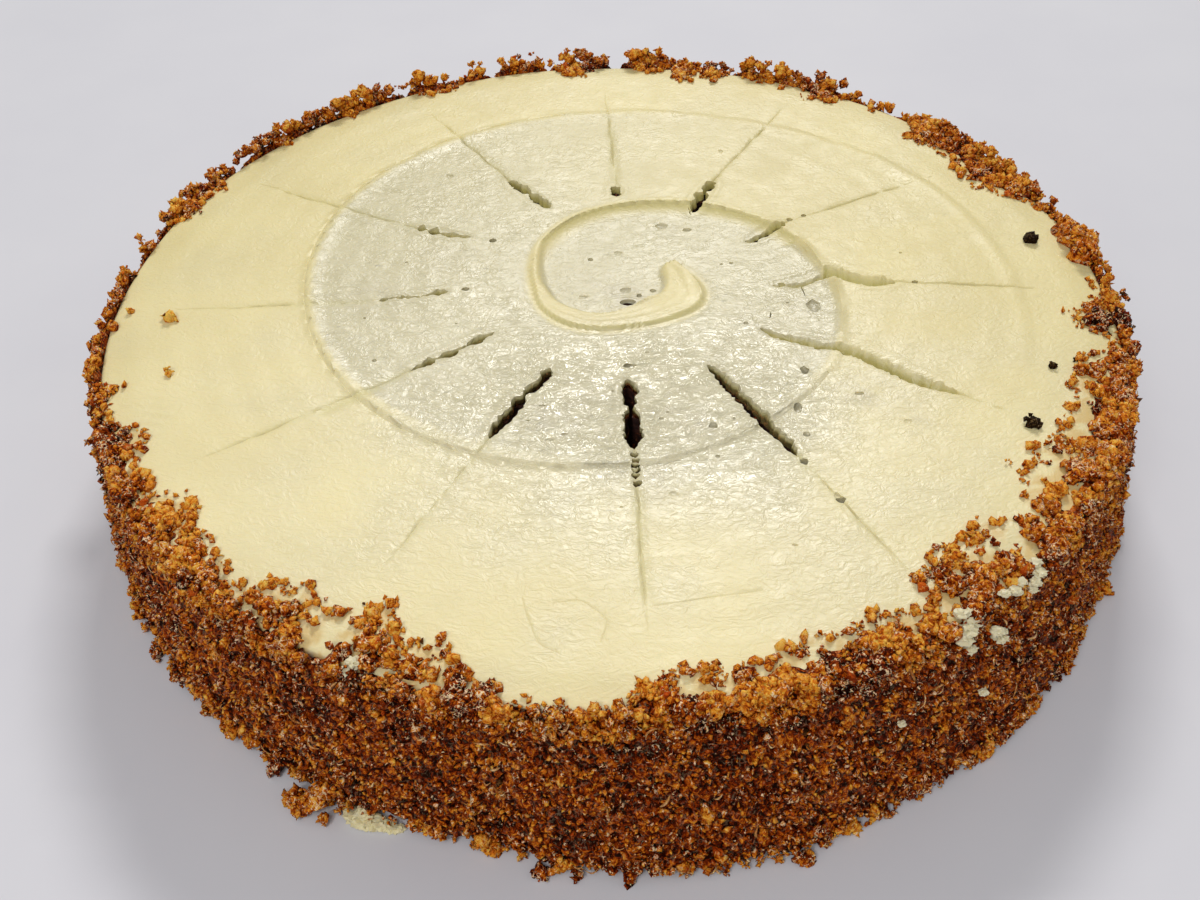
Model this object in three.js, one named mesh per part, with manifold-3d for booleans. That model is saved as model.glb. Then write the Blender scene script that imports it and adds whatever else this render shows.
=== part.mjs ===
// A round carrot cake, marked for twelve slices: a sponge disc under a cap of
// cream cheese icing, with a coat of toasted cake crumbs pressed round its side
// and over the rim. Millimetres, +Z up, origin at the middle of the flat base.

import * as THREE from 'three';
import { mergeVertices } from 'three/addons/utils/BufferGeometryUtils.js';
import Module from 'manifold-3d';

const wasm = await Module();
wasm.setup();

// ---- driving sizes -------------------------------------------------------

const contactGap = 0.3; // between one layer and the next
const aboveFloor = 0.6; // lower edge of the icing and of the coat

const icing = {
  top: 43, // height of the spread surface
  thickness: 3, // of the layer over the sponge
  side: 2.5, // of the layer round the sponge
  rimRadius: 125.7, // where the top turns down
  baseRadius: 128.5,
  rimRound: 1.3, // softening of the rim
  segments: 90,
};

const coat = {
  topRadius: 129.0, // of the pressed bed, without the crumbs that stand out
  baseRadius: 133.2,
  lip: 45.2, // height of the bed where it turns over the rim
  edgeHeight: 1.3, // of its thin inner edge over the icing
  leastReach: 1.8, // how far it always comes in from the rim
  roughness: 1.5, // how far the bed's surface wanders
  columns: 108,
};

// Where the knife went in. Every slice mark starts from the same off-centre
// point, is an open slot for a while and then only a scored line.
const cuts = {
  centre: new THREE.Vector2(3.6, 4.7),
  firstAngle: -88.8,
  count: 12,
  bottom: 9, // height at which the slots end inside the sponge
  straySpread: 0.17, // share of a slot's length over which it strays
  scoreWidth: 1.1,
  scoreDepth: 0.7,
  scoreOverlap: 1.3, // how far a scored line starts inside its slot
  beadRadius: 1.0,
  beadDepth: 2.2,
};

// One row for each slice mark, clockwise from the one nearest -Y: slot start,
// slot end, width, how far it strays sideways and at what share of its length,
// end of the scored line, and the small holes in line with the slot.
const slots = [
  { start: 35.1, end: 58.7, width: 3.2, stray: 0, strayAt: 0.5, scored: 112.7, beads: [64.4, 67.6, 70.8] },
  { start: 35.7, end: 62.2, width: 2.8, stray: 0, strayAt: 0.5, scored: 109, beads: [] },
  { start: 36.1, end: 60.4, width: 1.5, stray: 0, strayAt: 0.5, scored: 115, beads: [64] },
  { start: 38.7, end: 62, width: 1.2, stray: 0.6, strayAt: 0.5, scored: 118, beads: [35.2] },
  { start: 40.8, end: 62, width: 1.3, stray: 0, strayAt: 0.5, scored: 122, beads: [36.4, 66] },
  { start: 44, end: 61, width: 2.4, stray: 0, strayAt: 0.5, scored: 110, beads: [] },
  { start: 45.6, end: 51.4, width: 2.4, stray: 0, strayAt: 0.5, scored: 103, beads: [] },
  { start: 42.5, end: 54.6, width: 2.5, stray: 0, strayAt: 0.5, scored: 106.8, beads: [] },
  { start: 40.4, end: 52.4, width: 2.5, stray: 0, strayAt: 0.5, scored: 100.7, beads: [59.3] },
  { start: 38.5, end: 76.4, width: 3.0, stray: 3.8, strayAt: 0.42, scored: 110.4, beads: [] },
  { start: 37.9, end: 88.5, width: 2.4, stray: 3.0, strayAt: 0.38, scored: 106.7, beads: [] },
  { start: 36.5, end: 73.3, width: 2.1, stray: 0.5, strayAt: 0.5, scored: 107.5, beads: [76.5] },
];

// The ridge that the palette knife left as the cake turned under it: one
// spiral, clockwise from the middle out, by its radius at each eighth of a turn.
const ridge = {
  centre: new THREE.Vector2(2, 14),
  firstAngle: 13,
  radii: [15.1, 23, 24.8, 24.6, 22.4, 24.8, 30.5, 37.8, 51,
    63.5, 73.4, 77.3, 79.7, 82.5, 81.3, 84.5, 98.6, 107],
  crest: 1.1,
  halfWidth: 2.3,
  root: 1.6, // how deep the ridge's solid goes under the surface
  steps: 60,
};

// The folded tail of icing where the knife was set down, inside a shallow dish.
const tail = {
  centre: new THREE.Vector2(8, 5),
  radius: 14,
  from: 62,
  to: -112,
  crest: 1.3,
  halfWidth: 2.0,
  steps: 16,
};
const dish = { centre: new THREE.Vector2(1, 20), radius: 20, depth: 1.1 };

// Where the crumbs reach in over the rim: [angle, half width, reach past the rim].
const drifts = [
  [273, 3, 8], [288, 15, 10.5], [310, 9, 16.5], [328, 8, 16.5], [342, 6, 14.5],
  [355, 3.5, 9], [0, 2.5, 6], [12, 5, 4], [28, 9, 11.5], [38, 6, 8], [60, 6, 5],
  [74, 3, 8], [94, 3, 7.5], [116, 5, 4.5], [157, 4, 4.5], [198, 5, 8], [206, 6, 8.5],
  [215, 6, 7], [222, 7, 10.5], [233, 7, 9.5], [241, 8, 12.5], [251, 9, 13.5],
];

// Crumbs that fell on the icing, clear of the coat: [x, y, size].
const strayCrumbs = [
  [-121.5, 0.6, 1.5], [-110.7, -3.8, 2.1], [-106.1, -25.4, 1.7],
  [112, 22.6, 2.6], [105, -29.0, 1.6], [95.4, -48.2, 2.3], [87.2, -61.5, 1.3],
];

// Clumps that stand well out of the coat: [angle, radius, height, size].
const clumps = [
  [8.4, 127.6, 42.0, 4.6], [11.6, 128.6, 43.2, 4.8], [10.4, 131.2, 41.2, 4.0],
  [181, 131, 34, 3.6], [184, 132, 31, 3.2], [234, 134, 5.6, 3.6], [237, 134.6, 8.2, 3.0],
];

const wallCrumbs = { count: 96, largest: 4.2, smallest: 2.5 };
const rimCrumbs = { count: 56, largest: 3.4, smallest: 2.2 };
const manyFacedAbove = 3.8;

// ---- helpers -------------------------------------------------------------

const radians = THREE.MathUtils.degToRad;
const lerp = THREE.MathUtils.lerp;

// The same draws every time, in the order in which they are asked for.
function seededRandom(seed) {
  let state = seed;
  return () => {
    state = (state * 1664525 + 1013904223) % 4294967296;
    return state / 4294967296;
  };
}

function polar(radius, degrees) {
  return new THREE.Vector2(Math.cos(radians(degrees)), Math.sin(radians(degrees))).multiplyScalar(radius);
}

function toSolid(geometry) {
  geometry.deleteAttribute('normal');
  geometry.deleteAttribute('uv');
  const welded = mergeVertices(geometry, 1e-4);
  return new wasm.Manifold(new wasm.Mesh({
    numProp: 3,
    vertProperties: Float32Array.from(welded.attributes.position.array),
    triVerts: Uint32Array.from(welded.index.array),
  }));
}

function toMesh(name, solid, material) {
  const { vertProperties, triVerts } = solid.getMesh();
  const geometry = new THREE.BufferGeometry();
  geometry.setAttribute('position', new THREE.BufferAttribute(vertProperties, 3));
  geometry.setIndex(new THREE.BufferAttribute(triVerts, 1));
  geometry.computeVertexNormals();
  const mesh = new THREE.Mesh(geometry, material);
  mesh.name = name;
  return mesh;
}

// A profile of [radius, height] pairs turned round the cake's axis.
function turned(profile, segments) {
  const geometry = new THREE.LatheGeometry(profile.map(([r, z]) => new THREE.Vector2(r, z)), segments);
  return geometry.rotateX(Math.PI / 2);
}

// ---- layers --------------------------------------------------------------

const cavityTop = icing.top - icing.thickness;

// Radius of the icing's outer face at a height.
function icingWall(z) {
  return lerp(icing.baseRadius, icing.rimRadius, (z - aboveFloor) / (icing.top - aboveFloor));
}

function icingCap() {
  return toSolid(turned([
    [0, cavityTop],
    [icingWall(cavityTop) - icing.side, cavityTop],
    [icingWall(aboveFloor) - icing.side, aboveFloor],
    [icingWall(aboveFloor), aboveFloor],
    [icingWall(icing.top - icing.rimRound), icing.top - icing.rimRound],
    [icing.rimRadius - icing.rimRound, icing.top],
    [0, icing.top],
  ], icing.segments));
}

function spongeDisc() {
  const top = cavityTop - contactGap;
  const shoulder = 1.5;
  return toSolid(turned([
    [0, 0],
    [icingWall(0) - icing.side - contactGap - shoulder, 0],
    [icingWall(shoulder) - icing.side - contactGap, shoulder],
    [icingWall(top) - icing.side - contactGap, top],
    [0, top],
  ], icing.segments));
}

// ---- slice marks ---------------------------------------------------------

// Turns a piece made along +X into its place along one slice mark.
function alongCut(geometry, index) {
  const angle = radians(cuts.firstAngle - (index * 360) / cuts.count);
  return geometry.rotateZ(angle).translate(cuts.centre.x, cuts.centre.y, 0);
}

// A ragged slot: pointed at both ends, torn along both sides, straying where the knife did.
function slotCutter(slot, index) {
  const random = seededRandom(501 + index * 37);
  const steps = Math.max(3, Math.round((slot.end - slot.start) / 4.2));
  const left = [];
  const right = [];
  for (let i = 1; i < steps; i += 1) {
    const t = i / steps;
    const swell = Math.min(1, 2.6 * Math.sqrt(t * (1 - t)));
    const x = lerp(slot.start, slot.end, t);
    const y = slot.stray * Math.exp(-(((t - slot.strayAt) / cuts.straySpread) ** 2));
    left.push([x, y + (slot.width / 2) * swell * lerp(0.7, 1.25, random())]);
    right.push([x, y - (slot.width / 2) * swell * lerp(0.7, 1.25, random())]);
  }
  const outline = [[slot.start, 0], ...right, [slot.end, 0], ...left.reverse()];
  const shape = new THREE.Shape(outline.map(([x, y]) => new THREE.Vector2(x, y)));
  const depth = icing.top + ridge.crest + 2 - cuts.bottom;
  const geometry = new THREE.ExtrudeGeometry(shape, { depth, bevelEnabled: false });
  return toSolid(alongCut(geometry.translate(0, 0, cuts.bottom), index));
}

// The scored line beyond a slot: a shallow V that runs out before the rim.
function scoreCutter(slot, index) {
  const half = cuts.scoreWidth / 2;
  const section = new THREE.Shape([
    new THREE.Vector2(-half * 2, cuts.scoreDepth),
    new THREE.Vector2(0, -cuts.scoreDepth),
    new THREE.Vector2(half * 2, cuts.scoreDepth),
  ]);
  const start = slot.end - cuts.scoreOverlap;
  const geometry = new THREE.ExtrudeGeometry(section, { depth: slot.scored - start, bevelEnabled: false });
  geometry.rotateX(Math.PI / 2).rotateZ(Math.PI / 2);
  return toSolid(alongCut(geometry.translate(start, 0.07, icing.top), index));
}

function beadCutter(distance, index) {
  const { beadRadius, beadDepth } = cuts;
  const geometry = new THREE.CylinderGeometry(beadRadius, beadRadius * 0.7, beadDepth + 1, 7);
  geometry.rotateX(Math.PI / 2).translate(distance, 0, icing.top - beadDepth / 2 + 0.5);
  return toSolid(alongCut(geometry, index));
}

// ---- relief of the icing -------------------------------------------------

// A low rounded ridge along a flat path; its ends dive under the surface.
function ridgeAlong(points, { crest, halfWidth, root, steps }) {
  const sunk = points.map((point, i) => {
    const atEnd = i === 0 || i === points.length - 1;
    return new THREE.Vector3(point.x, point.y, icing.top - (atEnd ? crest : 0));
  });
  // The section's x points down and its y across the path.
  const section = new THREE.Shape([
    new THREE.Vector2(root, -halfWidth * 0.8),
    new THREE.Vector2(root, halfWidth * 0.8),
    new THREE.Vector2(-0.15 * crest, halfWidth),
    new THREE.Vector2(-crest, 0),
    new THREE.Vector2(-0.15 * crest, -halfWidth),
  ]);
  const extrudePath = new THREE.CatmullRomCurve3(sunk);
  return toSolid(new THREE.ExtrudeGeometry(section, { steps, bevelEnabled: false, extrudePath }));
}

function spiralRidge() {
  const points = ridge.radii.map((radius, i) => polar(radius, ridge.firstAngle - i * 45).add(ridge.centre));
  return ridgeAlong(points, ridge);
}

function foldedTail() {
  const points = [];
  const stations = 6;
  for (let i = 0; i <= stations; i += 1) {
    points.push(polar(tail.radius, lerp(tail.from, tail.to, i / stations)).add(tail.centre));
  }
  return ridgeAlong(points, { ...tail, root: ridge.root });
}

function dishCutter() {
  const { centre, radius, depth } = dish;
  const geometry = turned([
    [0, icing.top - depth],
    [radius * 0.7, icing.top - depth * 0.9],
    [radius, icing.top + 0.2],
    [radius, icing.top + 3],
    [0, icing.top + 3],
  ], 28);
  return toSolid(geometry.translate(centre.x, centre.y, 0));
}

// ---- crumbs --------------------------------------------------------------

// One uneven crumb of about the given radius, with more faces on a large one.
function crumb(centre, size, random) {
  const geometry = size > manyFacedAbove
    ? new THREE.IcosahedronGeometry(size, 0)
    : new THREE.OctahedronGeometry(size * 1.12, 0);
  geometry.deleteAttribute('normal');
  geometry.deleteAttribute('uv');
  const welded = mergeVertices(geometry, 1e-4);
  const position = welded.attributes.position;
  for (let i = 0; i < position.count; i += 1) {
    const stretch = lerp(0.78, 1.16, random());
    const corner = new THREE.Vector3().fromBufferAttribute(position, i).multiplyScalar(stretch);
    position.setXYZ(i, corner.x, corner.y, corner.z);
  }
  welded.rotateX(random() * Math.PI).rotateZ(random() * Math.PI);
  return toSolid(welded.translate(centre.x, centre.y, centre.z));
}

function crumbAtAngle(degrees, radius, height, size, random) {
  const place = polar(radius, degrees);
  return crumb(new THREE.Vector3(place.x, place.y, height), size, random);
}

// How far in from the icing's rim the coat comes at an angle.
function reachOver(degrees) {
  let reach = coat.leastReach;
  for (const [angle, halfWidth, far] of drifts) {
    const apart = Math.abs(((degrees - angle + 540) % 360) - 180);
    if (apart < halfWidth) {
      reach = Math.max(reach, far * Math.cos((Math.PI / 2) * (apart / halfWidth)) ** 0.6);
    }
  }
  return reach;
}

// Radius of the pressed bed at a height, before its roughness.
function coatWall(z) {
  return lerp(coat.baseRadius, coat.topRadius, Math.min(1, z / coat.lip) ** 0.85);
}

// The bed of crumbs: a ring whose section changes all the way round. It lies on
// the icing's wall and rim, and reaches in over the top by a different amount
// at each angle.
function crumbBed() {
  const random = seededRandom(77);
  const wallHeights = [aboveFloor, 8, 16, 24, 32, 39.5];
  const gap = contactGap + 0.2;
  const ringOf = (degrees) => {
    const bump = (scale = 1) => lerp(-coat.roughness, coat.roughness, random()) * scale;
    const edge = icing.rimRadius - reachOver(degrees) + bump(0.5);
    const underTop = icing.top + gap;
    return [
      ...wallHeights.map((z, i) => [coatWall(z) + bump(), z + (i ? bump(0.8) : 0)]),
      [coatWall(icing.top) - 0.4 + bump(), icing.top + 0.6 + bump(0.5)],
      [icing.rimRadius + 1.4, coat.lip + bump(0.7)],
      [lerp(edge, icing.rimRadius, 0.45), coat.lip - 0.3 + bump(0.6)],
      [edge + 0.5, icing.top + coat.edgeHeight + bump(0.3)],
      [edge, underTop],
      [icing.rimRadius - icing.rimRound + gap * 0.4, underTop],
      [icingWall(icing.top - icing.rimRound) + gap, icing.top - icing.rimRound + gap * 0.4],
      [icingWall(aboveFloor) + gap, aboveFloor],
    ];
  };
  const rings = [];
  for (let column = 0; column < coat.columns; column += 1) {
    rings.push(ringOf((column * 360) / coat.columns - 90));
  }
  const sectionPoints = rings[0].length + 1;
  const geometry = turned([...rings[0], rings[0][0]], coat.columns);
  const position = geometry.attributes.position;
  for (let column = 0; column <= coat.columns; column += 1) {
    const ring = rings[column % coat.columns];
    for (let j = 0; j < sectionPoints; j += 1) {
      const [radius, height] = ring[j % ring.length];
      const place = polar(radius, (column * 360) / coat.columns - 90);
      position.setXYZ(column * sectionPoints + j, place.x, place.y, height);
    }
  }
  return toSolid(geometry);
}

// Crumbs that stand out of the wall, the largest first, spread by the golden angle.
function crumbsOnWall(random) {
  const solids = [];
  for (let i = 0; i < wallCrumbs.count; i += 1) {
    const t = i / (wallCrumbs.count - 1);
    const size = lerp(wallCrumbs.largest, wallCrumbs.smallest, t ** 0.6);
    const angle = i * 137.508 + 6 * random();
    const height = lerp(size + 1, icing.top - 1, (i * 0.754878 + 0.2 * random()) % 1);
    solids.push(crumbAtAngle(angle, coatWall(height) + 0.15 * size, height, size, random));
  }
  return solids;
}

// Crumbs heaped on the rim, some of them along the inner edge of the drifts.
function crumbsOnRim(random) {
  const solids = [];
  for (let i = 0; i < rimCrumbs.count; i += 1) {
    const t = i / (rimCrumbs.count - 1);
    const size = lerp(rimCrumbs.largest, rimCrumbs.smallest, t);
    const angle = (i * 360) / rimCrumbs.count + 3 * random();
    const inner = icing.rimRadius - reachOver(angle) + size * 1.25;
    const radius = Math.max(inner, lerp(inner, icing.rimRadius + 2.5, i % 3 === 0 ? 0.9 * random() : 1));
    solids.push(crumbAtAngle(angle, radius, icing.top + 1.3 + 0.4 * size, size, random));
  }
  return solids;
}

// Room above and beside the icing that no crumb of the coat may enter.
function icingEnvelope() {
  const gap = contactGap + 0.02;
  return toSolid(turned([
    [0, aboveFloor - 1],
    [icingWall(aboveFloor) + gap, aboveFloor - 1],
    [icingWall(icing.top - icing.rimRound) + gap, icing.top - icing.rimRound],
    [icing.rimRadius - icing.rimRound + gap, icing.top + gap],
    [0, icing.top + gap],
  ], icing.segments));
}

// ---- sub-parts -----------------------------------------------------------

function makeIcing() {
  let solid = icingCap().subtract(dishCutter()).add(spiralRidge()).add(foldedTail());
  slots.forEach((slot, index) => {
    solid = solid.subtract(scoreCutter(slot, index)).subtract(slotCutter(slot, index));
    for (const distance of slot.beads) {
      solid = solid.subtract(beadCutter(distance, index));
    }
  });
  const random = seededRandom(9);
  for (const [x, y, size] of strayCrumbs) {
    solid = solid.add(crumb(new THREE.Vector3(x, y, icing.top + 0.45 * size), size, random));
  }
  return solid;
}

function makeSponge() {
  return slots.reduce((solid, slot, index) => solid.subtract(slotCutter(slot, index)), spongeDisc());
}

function makeCoat() {
  const random = seededRandom(2024);
  const standing = clumps.map((clump) => crumbAtAngle(...clump, random));
  const pieces = [...standing, ...crumbsOnRim(random), ...crumbsOnWall(random)];
  const heaped = pieces.reduce((solid, piece) => solid.add(piece), crumbBed());
  return heaped.subtract(icingEnvelope());
}

const materials = {
  sponge: new THREE.MeshStandardMaterial({ color: 0x6b3a1a, roughness: 0.9, metalness: 0 }),
  icing: new THREE.MeshStandardMaterial({ color: 0xefe9bd, roughness: 0.4, metalness: 0 }),
  crumbs: new THREE.MeshStandardMaterial({ color: 0xa5651c, roughness: 0.85, metalness: 0 }),
};

const cake = new THREE.Group();
cake.add(
  toMesh('sponge', makeSponge(), materials.sponge),
  toMesh('icing', makeIcing(), materials.icing),
  toMesh('crumb_coat', makeCoat(), materials.crumbs),
);

export default cake;
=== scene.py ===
"""Looks of a ready-cut round carrot cake: cream cheese icing spread in a spiral,
twelve knife marks, and a coat of toasted cake crumbs. Sizes here are in
millimetres in the part's own frame and become metres when a mesh is made."""

import math
from collections import namedtuple

import bmesh
import bpy
import numpy as np
from mathutils import Matrix, Vector


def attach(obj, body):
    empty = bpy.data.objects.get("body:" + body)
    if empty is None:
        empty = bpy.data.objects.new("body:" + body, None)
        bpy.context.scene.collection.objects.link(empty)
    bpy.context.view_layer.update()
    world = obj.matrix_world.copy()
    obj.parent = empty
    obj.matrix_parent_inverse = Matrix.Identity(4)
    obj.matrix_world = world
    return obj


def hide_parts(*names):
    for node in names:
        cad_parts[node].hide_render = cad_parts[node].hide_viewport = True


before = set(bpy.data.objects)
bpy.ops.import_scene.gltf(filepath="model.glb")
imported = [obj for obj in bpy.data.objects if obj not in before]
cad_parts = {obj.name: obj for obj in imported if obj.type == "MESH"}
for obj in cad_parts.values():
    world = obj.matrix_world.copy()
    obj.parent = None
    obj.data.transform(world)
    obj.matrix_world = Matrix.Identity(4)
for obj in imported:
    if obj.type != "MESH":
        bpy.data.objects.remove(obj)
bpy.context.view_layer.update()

MM = 0.001

# ---- sizes, as in the solids ------------------------------------------------

ICING_TOP = 43.0
ICING_THICK = 3.0
ICING_SIDE = 2.5
RIM_RADIUS = 125.7
BASE_RADIUS = 128.5
RIM_ROUND = 1.3
ABOVE_FLOOR = 0.6
CAVITY_TOP = ICING_TOP - ICING_THICK
LAYER_GAP = 0.3

# How deep the slots go into the sponge, as a height, and the share of a slot's length
# over which it strays.
CUT_BOTTOM = 9.0
STRAY_SPREAD = 0.22

Slot = namedtuple("Slot", "inner outer width stray stray_at scored beaded lean stain pinches holes")

# The slice marks, clockwise from the front. Each is a slot from its inner to its
# outer end, with its width, how far and where it strays, and the far end of the
# scored line. Then how much it breaks up into a chain, how far its back wall
# leans, how brown it is inside, its pinches, and the small holes in line with it.
SLOTS = [
    Slot((4.3, -30.2), (5.1, -54.4), 3.7, 0.0, 0.50, (6.4, -108.0), 0.05, 0.0, 1.0,
         ((0.27, 0.75), (0.42, 0.3)), (-4.8, 26.4, 28.6, 29.9, 31.1, 32.7, 35.5)),
    Slot((-13.9, -25.7), (-27.6, -49.8), 3.0, -0.6, 0.50, (-48.9, -91.0), 0.15, 0.2, 0.9,
         ((0.2, 0.55), (0.4, 0.2)), ()),
    Slot((-28.2, -10.9), (-48.4, -25.7), 1.8, 0.3, 0.50, (-96.0, -57.5), 0.55, 0.2, 0.5,
         ((0.38, 0.1), (0.66, 0.15)), ()),
    Slot((-41.0, 6.1), (-58.5, 2.9), 1.3, 0.5, 0.40, (-114.0, 0.3), 0.95, 0.2, 0.3,
         ((0.3, 0.1), (0.75, 0.2)), (-4.4,)),
    Slot((-36.6, 30.3), (-51.6, 34.7), 2.3, 0.5, 0.40, (-103.0, 61.0), 0.8, 0.3, 0.4,
         ((0.45, 0.4),), (-6.3,)),
    Slot((-15.6, 43.4), (-27.2, 58.3), 3.1, 0.0, 0.50, (-54.0, 98.0), 0.05, 0.4, 0.1,
         ((0.5, 0.1),), ()),
    Slot((3.0, 48.9), (3.0, 54.3), 2.6, 0.0, 0.50, (0.3, 108.0), 0.0, 0.7, 0.0, (), ()),
    Slot((23.8, 41.6), (30.4, 55.4), 3.3, 0.0, 0.50, (54.0, 95.0), 0.1, 0.5, 0.1,
         ((0.62, 0.3),), ()),
    Slot((37.0, 27.4), (48.4, 34.0), 3.4, 0.4, 0.60, (93.0, 55.5), 0.1, 0.6, 0.0,
         (), (14.8, 19.3)),
    Slot((42.3, 7.7), (73.8, 6.2), 5.2, 4.4, 0.46, (113.0, 1.5), 0.1, 0.85, 0.0,
         ((0.12, 0.6),), (2.5, 36.4)),
    Slot((37.3, -11.4), (81.4, -38.0), 4.1, 2.9, 0.44, (97.0, -48.5), 0.1, 0.75, 0.1,
         (), (12.0, 15.6, 33.0, 40.5)),
    Slot((23.6, -25.4), (41.4, -57.5), 3.3, 0.4, 0.50, (62.0, -95.0), 0.15, 0.55, 0.8,
         (), (39.2, 53.0)),
]

# The spiral left by the palette knife, clockwise from the middle out, by its
# radius at each eighth of a turn.
SPIRAL_CENTRE = np.array([2.0, 14.0])
SPIRAL_FIRST_ANGLE = 13.0
SPIRAL_RADII = np.array([16.5, 25.8, 24.4, 26.0, 22.2, 23.6, 28.8, 36.7, 50.6,
                         64.0, 72.2, 77.3, 79.7, 82.5, 81.3, 84.5, 98.6, 107])

# Width of the folded ribbon of icing inside the first line, at each half eighth.
RIBBON_WIDTHS = (3.5, 7.0, 11.2, 11.5, 8.5, 7.4, 7.6, 5.0, 3.0, 2.8, 1.4, 0.2)

# How far the crumbs reach in over the icing from its rim: angle, reach. All angles
# are in degrees, anticlockwise from +X, and the photo's front is at 270.
REACH = [
    (0, 3.5), (2.5, 5.0), (4, 0), (9, -0.5), (15, 1), (20, 4), (22.5, 9), (25.5, 13), (30, 13),
    (33, 10), (38, 9), (41, 9.5), (43.5, 0.5), (47.5, -1), (49, 5), (50.5, -1), (53, -1), (55, 7),
    (59, 8.5), (61, 1), (63, 4.5), (64, 1), (66, 5), (69, 1), (71, -1), (73, 7.5), (75, 7), (76, 0),
    (77, 10), (78.5, 11), (79.5, -1), (82, 6.5), (84, 6), (86, -1), (91.5, -1), (92.5, 8), (95.5, 8),
    (97, -1), (110, -1), (112.5, 6), (116.5, 5.5), (118.5, -1), (125, -1), (128, 4), (130, -0.5),
    (137, 0), (139, 3), (141, -1), (150, -1), (152.5, 4), (160, 4), (162.5, -1), (180, -1), (192, -0.5),
    (194, 6), (196, 3), (200, 3), (202, 8), (205, 8.5), (208, 5.5), (211, 7), (213, 5), (215, 11),
    (218.5, 12), (221, 7), (223, 11), (226, 8), (229, 6.5), (231.5, 7), (233, 12), (238, 13.5),
    (241, 10), (243, 16), (246, 17), (248.5, 11), (253.5, 11), (257, 5.5), (261, 2.6), (265, 1.4),
    (270.5, 1.2), (272, 7), (275, 9.5), (279, 9), (281, 7), (285, 8.5), (288, 10.5), (292, 10),
    (296, 11), (299, 7.5), (301.5, 7), (303, 15), (308, 16.5), (313, 16.5), (316, 14), (318.5, 8),
    (321, 13), (325, 16), (330, 16.5), (333, 12), (338, 12), (343, 13.5), (347, 13), (349, 5), (351, 2),
    (353, 11), (356, 12.5), (358, 5), (360, 3.5),
]

# How high the crumbs stand over the icing along its rim: angle, height.
HEAPED = [
    (0, 2.0), (4, 1.5), (18, 1.5), (22, 3.0), (40, 3.0), (46, 1.0), (53, 1.5), (56, 3.6), (61, 2.0),
    (65, 3.8), (69, 4.6), (71, 0.5), (75, 3.0), (79, 0.5), (83, 4.6), (86, 3.6), (88, 0), (92, 3.6),
    (96, 4.0), (98, 0.5), (100, 3.4), (105, 3.4), (106, 0.5), (109, 4.0), (112, 1.5), (117, 4.2),
    (119, 0.5), (123, 3.6), (130, 4.2), (132, 2.5), (137, 4.2), (145, 3.4), (147, 0.5), (149, 3.0),
    (156, 2.4), (162, 2.2), (164, -1.0), (166, 2.4), (168, 1.6), (170, -1.5), (173, 3.0), (176, 0.8),
    (178, 2.0), (190, 2.0), (194, 1.0), (200, 1.8), (215, 2.6), (250, 2.4), (262, 1.5), (270, 1.4),
    (275, 2.0), (290, 2.2), (300, 1.8), (320, 2.2), (345, 2.0), (352, 1.5), (360, 2.0),
]

# How far the coat bulges at its foot: angle, extra radius.
FOOT = [
    (0, 1.8), (60, 0.5), (90, 0), (150, 0), (180, 0.2), (190, 0.8), (205, 0.2), (216, 0.6), (228, 1.2),
    (236, 0.4), (240, 1.6), (244, 3.2), (248, 2.6), (251, 1.2), (256, 1.0), (261.4, 1.4), (263, 4.2),
    (265, 5.2), (268, 4.6), (272, 5.4), (278, 6.4), (286, 6.4), (291, 4.8), (300, 4.0), (310, 4.4),
    (318, 3.4), (326, 1.6), (334, 2.0), (345, 2.4), (360, 1.8),
]

# Bubbles and nicks in the icing: x, y, radius, how much longer along y, depth.
PITS = [
    (51.8, -2.2, 1.7, 1.8, 0.9), (45.4, -0.6, 0.5, 1.1, 0.5), (46.5, -28.2, 1.1, 1.6, 1.3),
    (58.2, -37.3, 1.3, 0.5, 0.6), (43.3, -41.8, 1.1, 1.8, 0.8), (44.3, -51.1, 0.9, 1.0, 0.7),
    (23.4, -47.4, 1.1, 1.1, 0.8), (28.4, -45.2, 0.4, 1.2, 0.4), (34.1, -9.2, 0.7, 1.0, 0.5),
    (11.6, -44.7, 0.7, 0.7, 0.5), (13.2, -42.5, 0.4, 1.0, 0.4), (23.7, -57.6, 0.6, 1.0, 0.5),
    (5.5, -25.4, 1.0, 0.6, 0.9), (9.2, -20.5, 0.6, 0.7, 0.5), (-15.9, -39.3, 0.9, 0.4, 0.6),
    (-10.5, -49.4, 0.9, 0.5, 0.4), (-13.8, -51.2, 1.1, 0.5, 0.4), (0.6, -34.8, 0.4, 1.0, 0.4),
    (-19.0, -44.5, 0.5, 0.5, 0.3), (1.9, -72.9, 0.5, 0.6, 0.4), (13.4, -69.2, 1.2, 0.8, 0.3),
    (15.0, 36.0, 1.9, 0.8, 0.5), (21.8, 33.8, 1.3, 0.7, 0.6), (-4.5, 21.4, 0.8, 1.0, 0.5),
    (2.9, 24.0, 1.1, 0.9, 0.3), (32.6, 17.8, 0.6, 1.0, 0.4), (30.0, 17.4, 0.5, 1.0, 0.3),
    (8.0, 4.8, 0.8, 1.1, 1.0), (5.0, 2.2, 2.6, 0.5, 1.2), (11.6, 6.9, 0.9, 0.9, 0.7),
    (4.6, 7.2, 1.7, 0.9, 0.5), (-6.4, 4.8, 1.6, 0.5, 0.4), (33.6, 70.9, 0.7, 1.3, 0.3),
    (-44.5, 60.9, 1.3, 0.8, 0.3), (-61.3, -4.5, 0.4, 1.1, 0.5), (-38.0, -7.4, 0.4, 0.8, 0.4),
    (-57.0, -21.3, 0.6, 1.1, 0.6), (-75.0, -4.6, 0.5, 1.6, 0.6), (-52.9, 18.8, 0.4, 1.4, 0.3),
    (67.8, -47.3, 1.1, 0.8, 0.3), (77.0, 18.5, 0.5, 0.9, 0.4), (48.6, -70.7, 0.8, 1.4, 0.4),
    (38.0, -85.0, 0.7, 0.7, 0.3),
]

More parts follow.
